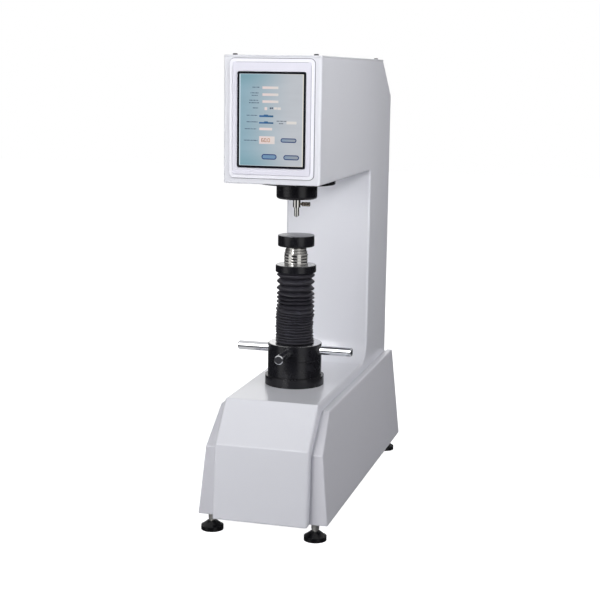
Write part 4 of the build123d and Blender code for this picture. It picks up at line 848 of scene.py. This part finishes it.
# the screw's thread above the bellows, straight and then up the cone
screwThread = {"pitch": 5.0, "foot": 384.0, "shoulder": 450.0, "top": 463.0, "radius": 19.85, "topRadius": 16.6,
               "ridge": 1.55}
for name, low, high, endRadius in (
        ("screwThread", "foot", "shoulder", "radius"), ("screwThreadCone", "shoulder", "top", "topRadius")):
    length = screwThread[high] - screwThread[low]
    ridge = bakeNodes(name, threadRidge, "threadSteel", {
        "Start Radius": screwThread["radius"] * mm, "End Radius": screwThread[endRadius] * mm,
        "Length": length * mm, "Turns": length / screwThread["pitch"], "Ridge": screwThread["ridge"] * mm,
        "Foot": (axisX, axisY, screwThread[low] * mm)})
    smoothShade(ridge, 60)
    finishPiece(ridge, "screw", "threadSteel")

studThread = {"pitch": 1.5, "foot": 14.6, "length": 9.0, "ridge": 0.55}
for corner in ("front_left", "front_right", "rear_left", "rear_right"):
    studLow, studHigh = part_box("foot_stud_" + corner)
    studRadius = (studHigh[0] - studLow[0]) / 2
    ridge = bakeNodes("studThread_" + corner, threadRidge, "footChrome", {
        "Start Radius": studRadius, "End Radius": studRadius, "Length": studThread["length"] * mm,
        "Turns": studThread["length"] / studThread["pitch"], "Ridge": studThread["ridge"] * mm,
        "Foot": ((studLow[0] + studHigh[0]) / 2, (studLow[1] + studHigh[1]) / 2, studThread["foot"] * mm)})
    smoothShade(ridge, 60)
    finishPiece(ridge, "foot_" + corner, "footChrome")
print("threads made")

# the anvil: a thick disc with rounded edges on its spigot
anvil = {"disc": 32.0, "spigot": 12.5, "top": 484.0, "bottom": 464.02, "spigotEnd": 436.0, "upperEdge": 1.4,
         "lowerEdge": 2.6, "spigotEdge": 0.8}
anvilProfile = roundedProfile([
    (0, anvil["spigotEnd"], 0), (anvil["spigot"], anvil["spigotEnd"], anvil["spigotEdge"]),
    (anvil["spigot"], anvil["bottom"], 0), (anvil["disc"], anvil["bottom"], anvil["lowerEdge"]),
    (anvil["disc"], anvil["top"], anvil["upperEdge"]), (0, anvil["top"], 0)])
anvilDisc = latheObject("anvilDisc", anvilProfile, (axisX, axisY, 0), (0, 0, 1), 128, 40)
finishPiece(anvilDisc, "anvil_table", "anvilFinish", ("anvil",))

# the indenter's clamp screw, with a knurled head
clamp = {"start": 3.2, "headStart": 9.0, "end": 24.0, "thread": 2.0, "threadEdge": 0.3, "head": 3.65, "edge": 0.8,
         "knurl": 0.15, "teeth": 30, "perTooth": 6, "clear": 0.02, "height": 538.0}
knurlStart, knurlEnd = clamp["headStart"] + clamp["edge"], clamp["end"] - clamp["edge"]


def knurl(angle, along):
    return clamp["knurl"] * mm * math.cos(clamp["teeth"] * angle) if knurlStart < along / mm < knurlEnd else 0


clampProfile = roundedProfile([
    (0, clamp["start"], 0), (clamp["thread"], clamp["start"], clamp["threadEdge"]),
    (clamp["thread"], clamp["headStart"], 0), (clamp["head"], clamp["headStart"], clamp["edge"]),
    (clamp["head"], clamp["end"], clamp["edge"]), (0, clamp["end"], 0)])
middle = sum(point.y < (clamp["headStart"] + clamp["end"]) / 2 * mm for point in clampProfile)
clampProfile[middle:middle] = [
    Vector((clamp["head"], height)) * mm for height in (knurlStart + clamp["clear"], knurlEnd - clamp["clear"])]
clampKnob = latheObject("clampKnob", clampProfile, (0, axisY, clamp["height"] * mm), (1, 0, 0),
                        clamp["teeth"] * clamp["perTooth"], 50, knurl)
finishPiece(clampKnob, "clamp_screw", "bronzedSteel", ("indenter_clamp_screw",))
print("anvil and clamp screw made")

# screws: four in the lid, six in the rear cover, two beside the mains inlet
coverScrew = {"radius": 4.0, "height": 2.4, "socket": 1.9, "middle": 229.0}
inlet = {"x": -38.0, "spread": 20.0, "z": 112.0, "face": 302.3, "radius": 2.2, "height": 0.9, "socket": 1.1}
reach, proud = coverScrew["radius"] * mm, coverScrew["height"] * mm
lidLow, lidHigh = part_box("top_cover_screws")
rearLow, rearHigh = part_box("rear_cover_screws")
rearHeights = (rearLow[2] + reach, coverScrew["middle"] * mm, rearHigh[2] - reach)
lidPlaces = [(x, y, lidHigh[2] - proud) for x in (lidLow[0] + reach, lidHigh[0] - reach)
             for y in (lidLow[1] + reach, lidHigh[1] - reach)]
rearPlaces = [(x, rearHigh[1] - proud, z) for x in (rearLow[0] + reach, rearHigh[0] - reach) for z in rearHeights]
inletPlaces = inMetres([(inlet["x"] + side * inlet["spread"], inlet["face"], inlet["z"]) for side in (-1, 1)])
screws = {
    "lidScrews": (lidPlaces, coverScrew, (0, 0, 1), 3, "darkScrew", ("top_cover_screws",)),
    "rearScrews": (rearPlaces, coverScrew, (0, 1, 0), 5, "darkScrew", ("rear_cover_screws",)),
    "inletScrews": (inletPlaces, inlet, (0, 1, 0), 9, "plainSteel", ()),
}
for name, (places, sizes, facing, seed, look, replaced) in screws.items():
    heads = bakeNodes(name, screwHeads, look, {
        "Head Radius": sizes["radius"] * mm, "Head Height": sizes["height"] * mm,
        "Socket Radius": sizes["socket"] * mm, "Facing": facing, "Seed": seed}, places)
    smoothShade(heads, 30)
    finishPiece(heads, "tester_frame", look, replaced)

# contact pins of the mains inlet, and the two marks on its rocker
contacts = {"reach": 295.15, "length": 13.5, "bevel": 0.4, "wide": 2.4, "tall": 4.4, "corner": 0.3,
            "places": ((-45.0, 95.0), (-31.0, 95.0), (-38.0, 99.0))}
inletPins = platesObject("inletPins", inMetres(
    [(x, z, contacts["wide"], contacts["tall"], contacts["corner"]) for x, z in contacts["places"]]),
    contacts["reach"] * mm, -contacts["length"] * mm, contacts["bevel"] * mm)
finishPiece(inletPins, "tester_frame", "plainSteel")
marks = {"middle": 128.0, "face": 301.5, "upperSlope": 1 / 6, "lowerSlope": 0.5, "proud": 0.06, "sunk": 0.3,
         "line": 0.6, "barHeight": 131.2, "barTall": 3.2, "barCorner": 0.1, "ringHeight": 125.3, "ringWide": 3.0}
line, ringWide = marks["line"], marks["ringWide"]
layer = (marks["proud"] * mm, -marks["sunk"] * mm)
barPlaces = inMetres([(inlet["x"], marks["barHeight"], line, marks["barTall"], marks["barCorner"])])
ringPlaces = inMetres([(inlet["x"], marks["ringHeight"], ringWide, ringWide, ringWide / 2)])
for piece in (platesObject("rockerBar", barPlaces, *layer),
              borderObject("rockerRing", [(ringPlaces[0], line * mm, line * mm)], *layer)):
    for vertex in piece.data.vertices:
        above = vertex.co.z - marks["middle"] * mm
        vertex.co.y += marks["face"] * mm + (marks["upperSlope"] * above if above > 0 else -marks["lowerSlope"] * above)
    finishPiece(piece, "rocker", "markWhite")
print("screws, pins and rocker marks made")
